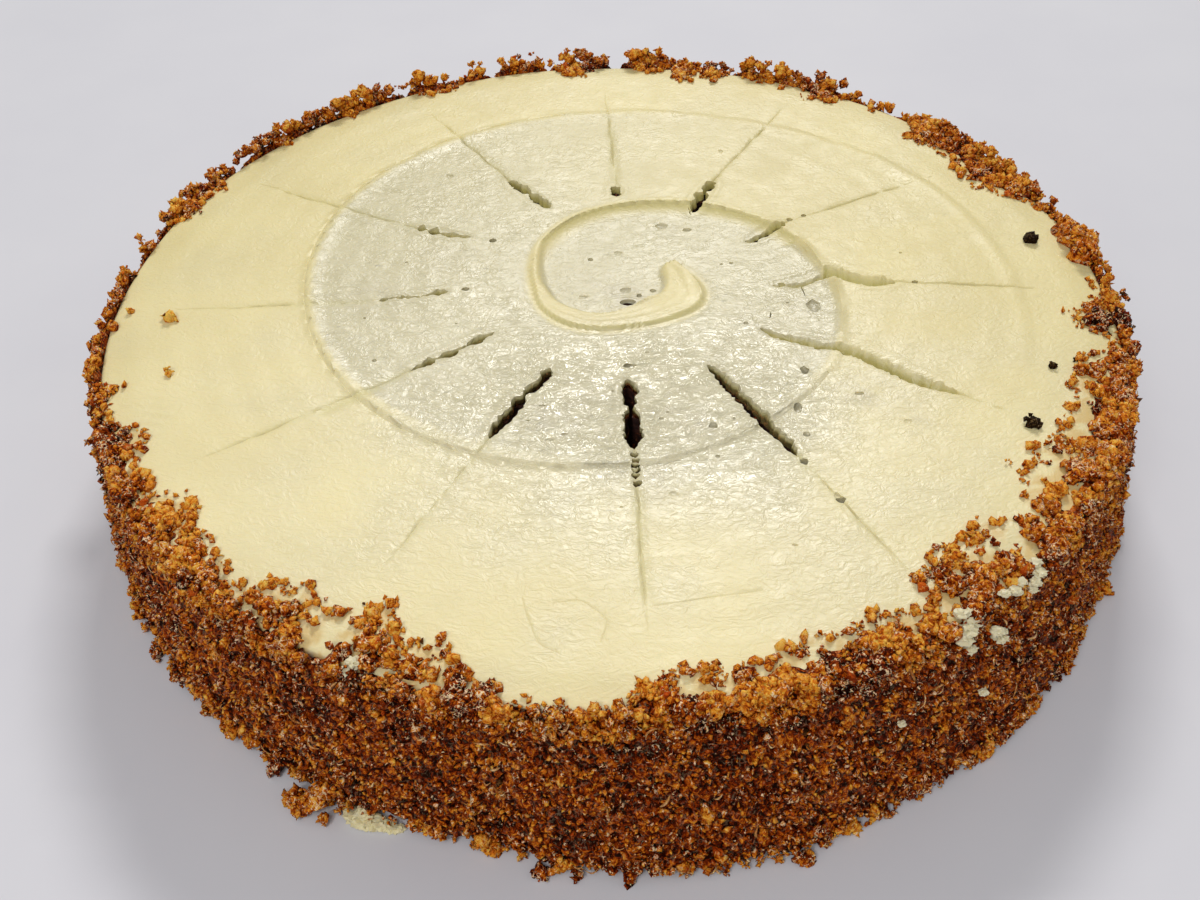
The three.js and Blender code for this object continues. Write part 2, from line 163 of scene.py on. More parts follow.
# Thin cracks in the icing: from, to.
CRACKS = [((50.0, 7.6), (50.0, 1.8)), ((22.9, 43.4), (23.3, 40.4)), ((40.6, -4.6), (40.3, -7.4))]

# Wider troughs on the scored lines: from, to, width, strength.
WIDE_TROUGHS = [
    ((-56.0, -31.5), (-67.0, -39.5), 1.6, 1.6), ((5.6, -70.0), (6.0, -98.0), 1.3, 1.0),
    ((-62.0, 2.6), (-82.0, 1.6), 1.2, 0.9), ((-30.0, 63.0), (-40.0, 78.0), 1.1, 0.8),
    ((2.8, 58.0), (1.6, 84.0), 1.3, 1.1),
]

# Fine ripples that the knife left near the left rim: x, y, spread, wavelength, height.
RIPPLES = (-107.0, -38.0, 11.0, 3.0, 0.16)

# Faint curved strokes of the knife near the front: angle and radius along each.
STROKES = [
    ((259.0, 99.0), (260.6, 105.0), (262.2, 111.0), (264.6, 113.0)),
    ((262.8, 100.4), (266.0, 98.6), (269.4, 104.0), (268.4, 110.4)),
    ((274.0, 101.0), (281.0, 100.4), (288.0, 101.8)),
]

# Places where the icing is thin and greyer: x, y, radius, strength.
THIN_PLACES = [
    (6.0, 4.5, 5.5, 1.0), (50.0, -2.0, 6.0, 0.5), (62.0, -36.0, 8.0, 0.4), (57.0, -38.0, 3.0, 0.5),
    (44.0, -50.0, 4.0, 0.4), (-14.0, -46.0, 7.0, 0.7), (16.0, 35.0, 4.0, 0.5), (22.0, -47.0, 4.0, 0.5),
    (-60.0, 5.0, 8.0, 0.4), (36.0, -10.0, 6.0, 0.4), (-4.0, -38.0, 7.0, 0.5), (68.0, -47.0, 4.0, 0.4),
    (-5.0, 8.0, 8.0, 0.4), (10.0, -66.0, 7.0, 0.4), (-44.0, 22.0, 7.0, 0.35), (14.0, -44.0, 8.0, 0.3),
]

# Crumbs that fell on the icing, clear of the coat: x, y, radius, toasting.
STRAY_CRUMBS = [
    (-121.5, 0.6, 1.3, 0.1), (-110.5, -3.4, 2.0, 0.05), (-106.1, -25.0, 1.6, 0.1),
    (112.0, 22.6, 2.1, 1.0), (105.2, -29.4, 1.4, 1.0), (95.6, -49.4, 2.0, 1.0), (87.2, -61.8, 0.9, 0.4),
    (111.6, -27.4, 1.0, 1.0), (-117.5, -38.0, 0.7, 0.6), (27.0, 113.0, 1.4, 0.3),
]

# Clumps that stand well out of the coat: angle, radius, height, size.
CLUMPS = [
    (7.4, 125.0, 42.8, 4.4), (9.8, 125.4, 43.4, 4.9), (12.4, 125.0, 43.4, 4.2),
    (10.6, 129.6, 41.0, 3.8), (181, 130.6, 34.0, 3.4), (184, 131.6, 31.0, 3.0),
    (239.6, 135.6, 2.6, 2.6), (240.9, 137.0, 2.6, 2.6), (241.8, 135.4, 4.4, 3.0),
    (243.2, 137.0, 2.0, 1.8), (242.4, 133.2, 6.6, 3.0),
]


# ---- repeatable noise -------------------------------------------------------


def hashed(ix, iy, iz, seed):
    """A value from 0 to 1 for each point of a whole-number lattice."""
    mask = 0xFFFFFFFF
    h = (ix * 374761393 + iy * 668265263 + iz * 1442695041 + seed * 1274126177) & mask
    h = ((h ^ (h >> 13)) * 1274126177) & mask
    h = ((h ^ (h >> 16)) * 668265263) & mask
    return (h ^ (h >> 15)) / mask


def noise(p, cell, seed):
    """Smooth noise from -1 to 1 over points p, with features of the given size."""
    q = np.asarray(p, float) / cell
    low = np.floor(q).astype(np.int64)
    f = q - low
    f = f * f * (3 - 2 * f)
    total = np.zeros(len(q))
    for corner in range(8):
        step = np.array([corner & 1, corner >> 1 & 1, corner >> 2])
        weight = np.prod(np.where(step, f, 1 - f), axis=1)
        total += weight * hashed(*(low + step).T, seed)
    return 2 * total - 1


def fractal(p, cell, seed, octaves=3):
    """Noise with finer and weaker noise added to it."""
    parts = [noise(p, cell / 2**i, seed + i) / 2**i for i in range(octaves)]
    return sum(parts) / sum(0.5**i for i in range(octaves))


def cells(p, size, seed):
    """Distance to the nearest scattered point, in cells, and that point's own value."""
    q = np.asarray(p, float) / size
    low = np.floor(q).astype(np.int64)
    nearest = np.full(len(q), 9.0)
    own = np.zeros(len(q))
    for neighbour in np.ndindex(3, 3, 3):
        at = low + np.array(neighbour) - 1
        spot = np.stack([hashed(*at.T, seed + i) for i in range(3)], axis=1)
        distance = np.linalg.norm(at + spot - q, axis=1)
        closer = distance < nearest
        nearest = np.where(closer, distance, nearest)
        own = np.where(closer, hashed(*at.T, seed + 7), own)
    return nearest, own


# ---- small helpers ----------------------------------------------------------


def flat_points(x, y=0.0):
    """Points in the plane z = 0."""
    return np.column_stack([x, y + 0 * x, 0 * x])


def polar(radius, around, z=0.0):
    """Points at a radius and an angle (in radians) round the cake's axis, and a height."""
    return np.column_stack([radius * np.cos(around), radius * np.sin(around), z + 0 * around])


def turned(degrees, start):
    """The angle from start to each angle, from -180 to 180 degrees."""
    return (degrees - start + 540) % 360 - 180


def along_rim(table, degrees):
    """A table's value at each angle round the cake."""
    return np.interp(degrees % 360, *np.array(table).T)


def bell(t):
    """1 where t is 0, and falling off to both sides."""
    return np.exp(-(t**2))


def smooth_step(t):
    """Rises from 0 to 1 while t does."""
    t = np.clip(t, 0, 1)
    return t * t * (3 - 2 * t)


def edge_step(s, width):
    """0 well inside a line, 1 well outside it, for a signed distance s."""
    return smooth_step(s / width + 0.5)


# ---- the icing's surface ----------------------------------------------------


def spiral_radius(turns):
    """Radius of the knife's spiral, and its slope, at a number of eighths of a turn."""
    last = len(SPIRAL_RADII) - 1
    u = np.clip(turns, 0, last - 1e-6)
    i = np.floor(u).astype(int)
    t = u - i
    p0, p1, p2, p3 = (SPIRAL_RADII[np.clip(i + k, 0, last)] for k in (-1, 0, 1, 2))
    a, b, c = (p2 - p0) / 2, p0 - 2.5 * p1 + 2 * p2 - p3 / 2, (p3 - p0) / 2 + 1.5 * (p1 - p2)
    radius = p1 + t * (a + t * (b + t * c))
    slope = (a + t * (2 * b + 3 * t * c)) / math.radians(45)
    return radius, slope


def spiral_turns(x, y):
    """Each point's place round the spiral, from 0 to 8 eighths clockwise, and its radius."""
    dx, dy = x - SPIRAL_CENTRE[0], y - SPIRAL_CENTRE[1]
    eighths = ((SPIRAL_FIRST_ANGLE - np.degrees(np.arctan2(dy, dx))) % 360) / 45
    return eighths, np.hypot(dx, dy)


def beyond_line(rho, turns):
    """Signed distance outward from the spiral's line at that many eighths of a turn."""
    radius, slope = spiral_radius(turns)
    return (rho - radius) / np.sqrt(1 + (slope / radius) ** 2)


# The dish's floor against the level icing, the eighth at which the folded ribbon ends
# and the width of its ridges.
DISH_LEVEL = -1.7
FOLD_END = 5.2
RIDGE_WIDTH = 0.62

# Ridges on the folded ribbon: share of its width, and height.
RIDGES_ON_RIBBON = ((0.05, 0.55), (0.20, 0.32), (0.36, 0.26), (0.66, 0.30), (0.86, 0.36))


def ribbon_width(eighths):
    return np.interp(eighths, np.arange(len(RIBBON_WIDTHS)) / 2, RIBBON_WIDTHS)


def spiral_place(x, y):
    """Each point's eighths and radius in the spiral, its signed distances from the
    first two turns, and how far the inside of the first is a folded ribbon."""
    eighths, rho = spiral_turns(x, y)
    folded = smooth_step(FOLD_END - eighths)
    return eighths, rho, beyond_line(rho, eighths), beyond_line(rho, eighths + 8), folded


def spiral_relief(x, y):
    """Height of the knife work: a dish, the folded ribbon round it and the outer turns."""
    p = flat_points(x, y)
    eighths, rho, first, second, folded = spiral_place(x, y)
    wobble = noise(p, 9.0, 31)
    first = first + 0.3 * wobble
    second = second + 0.4 * wobble
    third = beyond_line(rho, np.minimum(eighths + 16, 17)) + 0.4 * wobble

    # Up to five eighths round a ribbon lies inside the line, and then the dish's wall.
    width = ribbon_width(eighths)
    share = np.clip((first + width) / width, 0, 1)
    on_ribbon = edge_step(first + width, 1.4) * (1 - edge_step(first, 1.5))
    bent = share + 0.05 * noise(p, 5.0, 33)
    ridges = sum(tall * bell((bent - at) * width / RIDGE_WIDTH) for at, tall in RIDGES_ON_RIBBON)
    ribbon = -0.55 + 0.75 * smooth_step(share * 1.4) + ridges * (0.75 + 0.5 * noise(p, 6.0, 34))
    scooped = DISH_LEVEL * (1 - np.exp(np.minimum(first, 0) / 2.4))
    floor = DISH_LEVEL * (1 - edge_step(first + 0.5 * width, width))
    ribbon = ribbon * on_ribbon + DISH_LEVEL * (1 - on_ribbon)
    inside = folded * np.where(on_ribbon > 0, ribbon, floor)
    inside = inside + (1 - folded) * scooped
    # The channel between the first two turns starts level with the dish.
    channel = DISH_LEVEL * (1 - smooth_step((eighths - 0.1) / 1.6))
    outside = edge_step(first, 1.5)
    height = inside * (1 - outside) + channel * outside
    height += (1 - folded) * 0.28 * bell((first - 0.1) / 0.75)
    height -= folded * 0.3 * bell(first - 1.3)

    # Outside the second turn the surface is level; a smooth band lies just inside it.
    narrow = smooth_step((eighths - 0.8) / 1.6)
    step = edge_step(second + (1 - narrow) * 1.2, 1.1 * narrow + 2.2 * (1 - narrow))
    height = height * (1 - step)
    for distance, fade in ((second, 1.0), (third, 1 - smooth_step((eighths + 16 - 15.9) / 1.1))):
        over = edge_step(distance, 0.8)
        band = edge_step(distance + 3.4, 1.6) * (1 - over)
        height += fade * (0.30 * band + 0.32 * bell((distance + 0.5) / 0.8))
        height -= fade * 0.22 * np.exp(-np.maximum(distance, 0) / 2.4) * over
    return height


def pressed(x, y):
    """How far a point lies in the zone that the knife pressed last, from 0 to 1."""
    eighths, _, first, second, folded = spiral_place(x, y)
    loose = 1 - folded
    dish = 1 - edge_step(first + folded * ribbon_width(eighths) + 3.0 * loose, 1.2 + 4.0 * loose)
    turn = smooth_step((7.6 - eighths) / 2.8)
    brim = 1.6 + 2.2 * smooth_step((eighths - 0.8) / 1.6) * smooth_step((3.9 - eighths) / 0.9)
    ring = edge_step(first - 1.2, 2.0) * (1 - edge_step(second + brim, 1.6)) * (0.15 + 0.85 * turn)
    return np.maximum(dish, ring)


# The glossiest parts of the icing: x, y, spread along x and y, strength.
GLOSSY_FRONT = (12, -58, 65, 42, 0.45)
GLOSSY_MIDDLE = (6, -38, 42, 24, 0.9)


def blot(x, y, at_x, at_y, wide, tall, strength):
    """An oval patch that fades out round its middle."""
    return strength * np.exp(-(((x - at_x) / wide) ** 2) - ((y - at_y) / tall) ** 2)


def wetness(x, y):
    """How smooth and glossy the knife left each point, from 0 to 1."""
    gloss = np.maximum(0.32 * pressed(x, y), blot(x, y, *GLOSSY_FRONT)) + blot(x, y, *GLOSSY_MIDDLE)
    return np.clip(gloss + 0.15 * noise(flat_points(x, y), 12.0, 19), 0, 1)


def line_frame(start, end):
    """A line's start, the unit directions along and across it, and its length."""
    start, end = np.array(start), np.array(end)
    length = np.linalg.norm(end - start)
    forward = (end - start) / length
    return start, forward, np.array([-forward[1], forward[0]]), length


def on_line(line, distance, across):
    """Points at a distance along a line and a distance across it."""
    start, forward, sideways, _ = line
    return start + np.outer(distance, forward) + np.outer(across, sideways)


def beside_line(x, y, line):
    """How far each point lies along a line and across it."""
    offset = np.column_stack([x, y]) - line[0]
    return offset @ line[1], offset @ line[2]


def slot_axis(slot):
    return line_frame(slot.inner, slot.outer)


def slot_drift(slot, t):
    """How far a slot strays from its straight line at that share of its length."""
    return slot.stray * bell((t - slot.stray_at) / STRAY_SPREAD) * np.clip(8 * t * (1 - t), 0, 1)


def slot_distance(x, y):
    """Distance from each point to the nearest slot's walls, and how brown that slot is."""
    nearest = np.full(len(x), 99.0)
    stain = np.zeros(len(x))
    for slot in SLOTS:
        line = slot_axis(slot)
        length = line[3]
        along, across = beside_line(x, y, line)
        t = np.clip(along / length, 0, 1)
        last = max((length, *(slot.holes if slot.stain > 0.8 else ())))
        beyond = np.maximum(np.maximum(-along, along - last), 0)
        half = slot.width * np.sqrt(np.clip(t * (1 - t), 0, 0.25))
        distance = np.hypot(beyond, np.maximum(np.abs(across - slot_drift(slot, t)) - half, 0))
        stain = np.where(distance < nearest, slot.stain, stain)
        nearest = np.minimum(nearest, distance)
    return nearest, stain


def score_trough(x, y):
    """How near each point is to a scored line, from 0 to 1, with wider stretches."""
    near = np.zeros(len(x))
    for index, slot in enumerate(SLOTS):
        line = line_frame(slot.outer, slot.scored)
        length = line[3]
        along, across = beside_line(x, y, line)
        ends = smooth_step((along + 2) / 3) * smooth_step((length - along) / (0.4 * length))
        swell = 0.65 + 0.35 * noise(flat_points(along), 9.0, 540 + index)
        near = np.maximum(near, bell(across / (0.8 + 0.5 * swell)) * ends * swell)
    for start, end, width, strength in WIDE_TROUGHS:
        start, reach = np.array(start), np.array(end) - np.array(start)
        offset = np.column_stack([x, y]) - start
        t = np.clip(offset @ reach / np.sum(reach**2), 0, 1)
        distance = np.linalg.norm(offset - t[:, None] * reach, axis=1)
        near = np.maximum(near, strength * bell(distance / width))
    return near


def thin_places(x, y):
    """How thin the icing is at each point, from 0 to 1."""
    thin = np.zeros(len(x))
    for at_x, at_y, radius, strength in THIN_PLACES:
        thin += strength * np.exp(-(((x - at_x) ** 2 + (y - at_y) ** 2) / radius**2))
    return np.clip(thin * (0.7 + 0.9 * noise(flat_points(x, y), 2.6, 17)), 0, 1)


# Depth of the troughs along the scored lines and width of the knife's sweeps.
SCORE_DIP = 0.28
SWEEP_WIDTH = 8.5

# Where the icing's top starts to drop towards its edge, over what distance, how far.
EDGE_FROM, EDGE_OVER, EDGE_DROP = 116.5, 9.0, 0.75


def icing_height(x, y):
    """Height of the icing's top surface at each point."""
    x, y = np.asarray(x, float), np.asarray(y, float)
    p = flat_points(x, y)
    eighths, rho = spiral_turns(x, y)
    height = ICING_TOP - 0.25 + spiral_relief(x, y)
    height += 0.30 * fractal(p, 46.0, 3, 2)
    sweep = np.sin((rho + 1.5 * eighths + 3 * noise(p, 22.0, 5)) * 2 * math.pi / SWEEP_WIDTH)
    height += 0.06 * sweep * (0.5 + 0.5 * noise(p, 30.0, 6))
    wrinkles = noise(p * (1, 1.4, 1), 3.0, 11) + 0.6 * noise(p, 1.6, 12)
    height += (0.015 + 0.06 * pressed(x, y) * (0.6 + 0.4 * noise(p, 14.0, 13))) * wrinkles
    edge = smooth_step((np.hypot(x, y) - EDGE_FROM) / EDGE_OVER)
    height -= EDGE_DROP * edge * (1 + 0.5 * noise(p, 25.0, 15))
    height -= SCORE_DIP * score_trough(x, y)
    at_x, at_y, spread, wavelength, tall = RIPPLES
    rippled = np.exp(-((x - at_x) ** 2 + (y - at_y) ** 2) / spread**2) * (0.5 + noise(p, 7.0, 14))
    height += tall * rippled * np.sin(2 * math.pi * (0.25 * x + y + noise(p, 9.0, 18)) / wavelength)
    from_slot, _ = slot_distance(x, y)
    height += 0.22 * bell((from_slot - 1.3) / 0.9) - 0.15 * bell(from_slot / 0.7)
    for at_x, at_y, size, stretch, _ in PITS:
        ring = np.hypot(x - at_x, (y - at_y) / stretch) / size
        height += 0.13 * min(1, size) * bell((ring - 1.7) / 0.45)
    return height


# ---- meshes -----------------------------------------------------------------


def new_object(name, points, face_groups):
    """A mesh object from points in millimetres and arrays of faces, one array a face size."""
    mesh = bpy.data.meshes.new(name)
    mesh.vertices.add(len(points))
    mesh.vertices.foreach_set("co", (np.asarray(points) * MM).astype(np.float32).ravel())
    corners = np.concatenate([np.asarray(g).ravel() for g in face_groups])
    sides = np.concatenate([np.full(len(g), np.shape(g)[1]) for g in face_groups])
    mesh.loops.add(len(corners))
    mesh.loops.foreach_set("vertex_index", corners.astype(np.int32))
    mesh.polygons.add(len(sides))
    starts = np.concatenate([[0], np.cumsum(sides)[:-1]])
    mesh.polygons.foreach_set("loop_start", starts.astype(np.int32))
    mesh.update(calc_edges=True)
    mesh.validate()
    piece = bpy.data.objects.new(name, mesh)
    bpy.context.scene.collection.objects.link(piece)
    return piece


def points_of(piece):
    flat = np.zeros(len(piece.data.vertices) * 3, np.float32)
    piece.data.vertices.foreach_get("co", flat)
    return flat.reshape(-1, 3).astype(float) / MM


def keep_value(piece, name, values):
    """Stores one number for each vertex, for the material to read."""
    attribute = piece.data.attributes.new(name, "FLOAT", "POINT")
    attribute.data.foreach_set("value", np.asarray(values, np.float32))


def smooth_shade(piece, sharp_above):
    piece.data.shade_smooth()
    piece.data.set_sharp_from_angle(angle=math.radians(sharp_above))


def fan(ring, painted_glint_weight):
    """Triangles from a closed ring of corners to one more corner."""
    return np.stack([ring, np.full(len(ring), painted_glint_weight), np.roll(ring, -1)], axis=1)


def ring_quads(rows, columns, closed_section=False):
    """Quads of a surface of that many rows round closed rings, the next row further on."""
    count = rows if closed_section else rows - 1
    row, column = np.meshgrid(np.arange(count), np.arange(columns), indexing="ij")
    after = (column + 1) % columns
    here, there = row * columns, ((row + 1) % rows) * columns
    quads = [here + column, there + column, there + after, here + after]
    return np.stack([q.ravel() for q in quads], axis=1)


def carve(piece, cutter):
    """Takes the cutter's volume out of the piece, and removes the cutter."""
    cut = piece.modifiers.new("carve", "BOOLEAN")
    cut.operation = "DIFFERENCE"
    cut.solver = "MANIFOLD"
    cut.object = cutter
    bpy.context.view_layer.update()
    done = piece.evaluated_get(bpy.context.evaluated_depsgraph_get())
    carved = bpy.data.meshes.new_from_object(done)
    carved.name = piece.name
    carved.materials.clear()
    piece.modifiers.clear()
    piece.data = carved
    bpy.data.objects.remove(cutter)


def joined(name, parts):
    """One object from several (points, face groups) parts, all faces turned outward."""
    bm = bmesh.new()
    for points, face_groups in parts:
        corners = [bm.verts.new(Vector(p) * MM) for p in points]
        for group in face_groups:
            for face in group:
                bm.faces.new([corners[i] for i in face])
    bmesh.ops.recalc_face_normals(bm, faces=bm.faces)
    mesh = bpy.data.meshes.new(name)
    bm.to_mesh(mesh)
    bm.free()
    piece = bpy.data.objects.new(name, mesh)
    bpy.context.scene.collection.objects.link(piece)
    return piece


# ---- slice marks ------------------------------------------------------------


def slot_across(index, x, z):
    """Where the two walls of a slot stand across its middle line, at height z."""
    slot = SLOTS[index]
    _, forward, _, length = slot_axis(slot)
    t = x / length
    swell = np.minimum(1, 2.6 * np.sqrt(np.clip(t * (1 - t), 0, 1)))
    along = flat_points(x)
    drift = slot_drift(slot, t) + 0.25 * noise(along, 4.0, 100 + index)
    chain = np.clip(1 - slot.beaded * (0.5 - 1.2 * noise(along, 2.1, 200 + index)), 0.1, 1.5)
    for at, left in slot.pinches:
        chain = chain * (1 - (1 - left) * bell((t - at) / 0.05))
    half = 0.5 * slot.width * swell * chain
    depth = np.clip((ICING_TOP - z) / ICING_THICK, 0, 1)
    flare = 0.28 * np.clip(1 - (ICING_TOP - z) / 0.8, 0, 1) ** 2
    walls = []
    for side, seed in ((-1, 300), (1, 400)):
        lobes = np.abs(noise(along + (0, 0.3 * z, 0), 1.3, seed + index)) - 0.25
        tear = noise(along + (0, 0, 0.4 * z), 0.8, seed + 50 + index)
        leaning = 2 * slot.lean * max(0, side * forward[0]) * depth**0.8
        rough = (0.75 * lobes + 0.25 * tear + flare) * np.minimum(1, 1.4 * swell)
        walls.append(drift + side * (half * (1 - leaning) + rough))
    near, far = walls
    middle = (near + far) / 2
    return np.minimum(near, middle - 0.06 * swell), np.maximum(far, middle + 0.06 * swell)


# Distance between the stations along a slot's wall.
SLOT_STEP = 0.42


def slot_prism(index, heights, pores=0.0):
    """A ragged slot as a closed solid, with one outline for each height."""
    line = slot_axis(SLOTS[index])
    length = line[3]
    stations = int(length / SLOT_STEP)
    x = np.linspace(0, length, stations + 1)
    path = np.concatenate([x, x[-2:0:-1]])
    rows = []
    for z in heights:
        near, far = slot_across(index, x, z)
        across = np.concatenate([near, far[-2:0:-1]])
        level = np.full(len(path), z)
        rough = noise(np.column_stack([path, across * 3, level]), 1.7, 450 + index)
        across = across + pores * rough * np.where(np.arange(len(path)) <= stations, -1, 1)
        rows.append(np.column_stack([on_line(line, path, across), level]))
    ring = 2 * stations
    right = np.arange(1, stations - 1)
    left = ring - right
    caps = []
    for base in (0, (len(heights) - 1) * ring):
        strip = np.stack([right, right + 1, left - 1, left], axis=1) + base
        tips = np.array([[0, 1, ring - 1], [stations, stations + 1, stations - 1]]) + base
        caps += [strip, tips]
    return np.concatenate(rows), [ring_quads(len(heights), ring), *caps]


# How far a groove's cutter stands over the icing, and its greatest half width there.
GROOVE_OVER = 0.6
GROOVE_WIDEST = 2.2


def groove_prism(path, half, depth):
    """A V-shaped groove along a path over the icing, for one width and depth a point."""
    ahead = np.gradient(path, axis=0)
    ahead /= np.linalg.norm(ahead, axis=1)[:, None]
    side = np.column_stack([-ahead[:, 1], ahead[:, 0]])
    z = icing_height(*path.T)
    wide = (half * (1 + GROOVE_OVER / np.maximum(depth, 0.15) * 0.4))[:, None]
    wide = np.minimum(wide, GROOVE_WIDEST)
    sections = [
        np.column_stack([path + side * wide, z + GROOVE_OVER]),
        np.column_stack([path, z - depth]),
        np.column_stack([path - side * wide, z + GROOVE_OVER]),
    ]
    last = 3 * len(path) - 1
    ends = np.array([[0, 1, 2], [last - 2, last - 1, last]])
    return np.stack(sections, axis=1).reshape(-1, 3), [ring_quads(len(path), 3), ends]


def score_prism(index):
    """The scored line beyond a slot, which wanders and comes and goes."""
    line = line_frame(SLOTS[index].outer, SLOTS[index].scored)
    length = line[3]
    x = np.arange(-0.9, length, 0.8)
    at = flat_points(x)
    path = on_line(line, x, 0.3 * noise(at, 6.0, 500 + index))
    fade = np.minimum(1, 3 * (length - x) / length)
    depth = (0.20 + 0.20 * noise(at, 2.4, 520 + index) + 0.16 * noise(at, 9.0, 540 + index)) * fade
    half = 0.55 + 0.18 * noise(at, 1.7, 560 + index)
    return groove_prism(path, half, np.maximum(depth, -0.3))


def stroke_prism(points, seed):
    """A faint curved mark of the knife through places given by angle and radius."""
    stops = np.arange(len(points))
    t = np.linspace(0, stops[-1], 40)
    soft = np.hanning(15) / np.hanning(15).sum()
    bends = (np.pad(np.interp(t, stops, values), 7, "edge") for values in zip(*points))
    around, radius = (np.convolve(bend, soft, "valid") for bend in bends)
    at = polar(radius, np.radians(around))
    swell = 2 * np.sqrt(np.clip(t / stops[-1] * (1 - t / stops[-1]), 0, 1))
    depth = (0.11 + 0.08 * noise(at, 3.0, seed + 1)) * swell
    return groove_prism(at[:, :2], 0.5 + 0.1 * noise(at, 2.0, seed), depth)


def spiral_line(first, last, offset, half, depth, seed):
    """A fine groove beside the spiral's line, between two numbers of eighths of a turn."""
    turns = np.arange(first, last, 0.03)
    angle = np.radians(SPIRAL_FIRST_ANGLE - 45 * turns)
    radius, _ = spiral_radius(turns)
    path = SPIRAL_CENTRE + polar(radius + offset, angle)[:, :2]
    at = flat_points(*path.T)
    fade = np.minimum(1, 2 * np.minimum(turns - first, last - turns))
    depth = (depth + 0.08 * noise(at, 5.0, seed + 1)) * fade
    return groove_prism(path, half + 0.1 * noise(at, 3.0, seed), depth)


def crack_prism(start, end, seed):
    """A thin dark crack between two places on the icing."""
    t = np.linspace(0, 1, 9)
    path = np.outer(1 - t, start) + np.outer(t, end)
    path[:, 0] += 0.3 * noise(flat_points(8 * t), 1.5, seed)
    swell = np.sqrt(np.clip(t * (1 - t), 0.01, 1)) * 2
    return groove_prism(path, 0.22 * swell, 1.6 * swell)


def ball(divisions):
    """Points and triangles of a round ball of radius 1."""
    bm = bmesh.new()
    bmesh.ops.create_icosphere(bm, subdivisions=divisions, radius=1.0)
    points = np.array([v.co for v in bm.verts])
    faces = np.array([[v.index for v in f.verts] for f in bm.faces])
    bm.free()
    return points, faces


BALL = {level: ball(level) for level in (1, 2, 3)}


def hollow(x, y, radius, stretch, depth, seed):
    """A lumpy ball that cuts a hollow of that depth into the icing."""
    points, faces = BALL[2]
    lumpy = points * (1 + 0.25 * noise(points * 3, 1.0, seed)[:, None])
    tall = max(depth * 0.8, 0.45 * radius)
    middle = np.array([x, y, icing_height([x], [y])[0] + tall - depth])
    return middle + lumpy * (radius, radius * stretch, tall), [faces]


def bead_hollows():
    """The small holes in line with the slots, where the knife pulled the icing open."""
    parts = []
    for index, slot in enumerate(SLOTS):
        for j, distance in enumerate(slot.holes):
            x, y = on_line(slot_axis(slot), [distance], [0.15 * (-1) ** j])[0]
            radius = 0.75 + 0.3 * hashed(index, j, 0, 61) + 0.25 * slot.stain
            parts.append(hollow(x, y, radius, 0.9, 1.2 + 1.0 * slot.stain, 600 + index * 7 + j))
    return parts


# ---- icing ------------------------------------------------------------------

TOP_CELLS = 244

# Fine grooves beside the spiral's turns: first and last eighth of a turn, distance
# outside the line, half width and depth.
SPIRAL_LINES = [(5.0, 8.0, -0.75, 0.35, 0.14), (9.2, 14.2, 0.35, 0.5, 0.1)]


def disc_grid():
    """A square grid bent into a disc of radius 1, slightly finer in the middle."""
    line = np.linspace(-1, 1, TOP_CELLS + 1)
    a, b = np.meshgrid(line, line)
    a, b = a.ravel(), b.ravel()
    wide = np.abs(a) > np.abs(b)
    r = np.where(wide, a, b)
    with np.errstate(divide="ignore", invalid="ignore"):
        angle = np.where(wide, math.pi / 4 * b / a, math.pi / 2 - math.pi / 4 * a / b)
    angle = np.nan_to_num(angle)
    reach = np.abs(r)
    eased = 0.54 * reach + 0.46 * reach**2
    return np.sign(r) * eased * np.cos(angle), np.sign(r) * eased * np.sin(angle)


def grid_boundary(n):
    """Indices round the edge of an (n + 1) by (n + 1) grid, anticlockwise."""
    side = n + 1
    bottom = np.arange(n)
    right = np.arange(n) * side + n
    top = n * side + np.arange(n, 0, -1)
    left = np.arange(n, 0, -1) * side
    return np.concatenate([bottom, right, top, left])


def out_of_round(angle):
    """The cake's outline isn't quite a circle."""
    return 1 + 0.0035 * np.cos(2 * angle + 0.8) + 0.003 * np.cos(3 * angle - 1.1)


def icing_wall(z):
    """Radius of the icing's side at a height."""
    return BASE_RADIUS + (RIM_RADIUS - BASE_RADIUS) * (z - ABOVE_FLOOR) / (ICING_TOP - ABOVE_FLOOR)


SMEAR_STRENGTH = 0.45


def smears(p):
    """Where a film of fine crumb stains the icing between the crumbs of the drifts."""
    around = np.arctan2(p[:, 1], p[:, 0])
    inward = RIM_RADIUS - np.hypot(p[:, 0], p[:, 1]) / out_of_round(around)
    covered = smooth_step((scalloped_reach(np.degrees(around) % 360) - inward - 0.8) / 1.6)
    patchy = noise(p * (1, 1, 0), 2.8, 71) + 0.6 * noise(p * (1, 1, 0), 1.5, 72)
    on_top = smooth_step(p[:, 2] - ICING_TOP + 4)
    return SMEAR_STRENGTH * covered * smooth_step((patchy + 0.25) / 0.35) * on_top


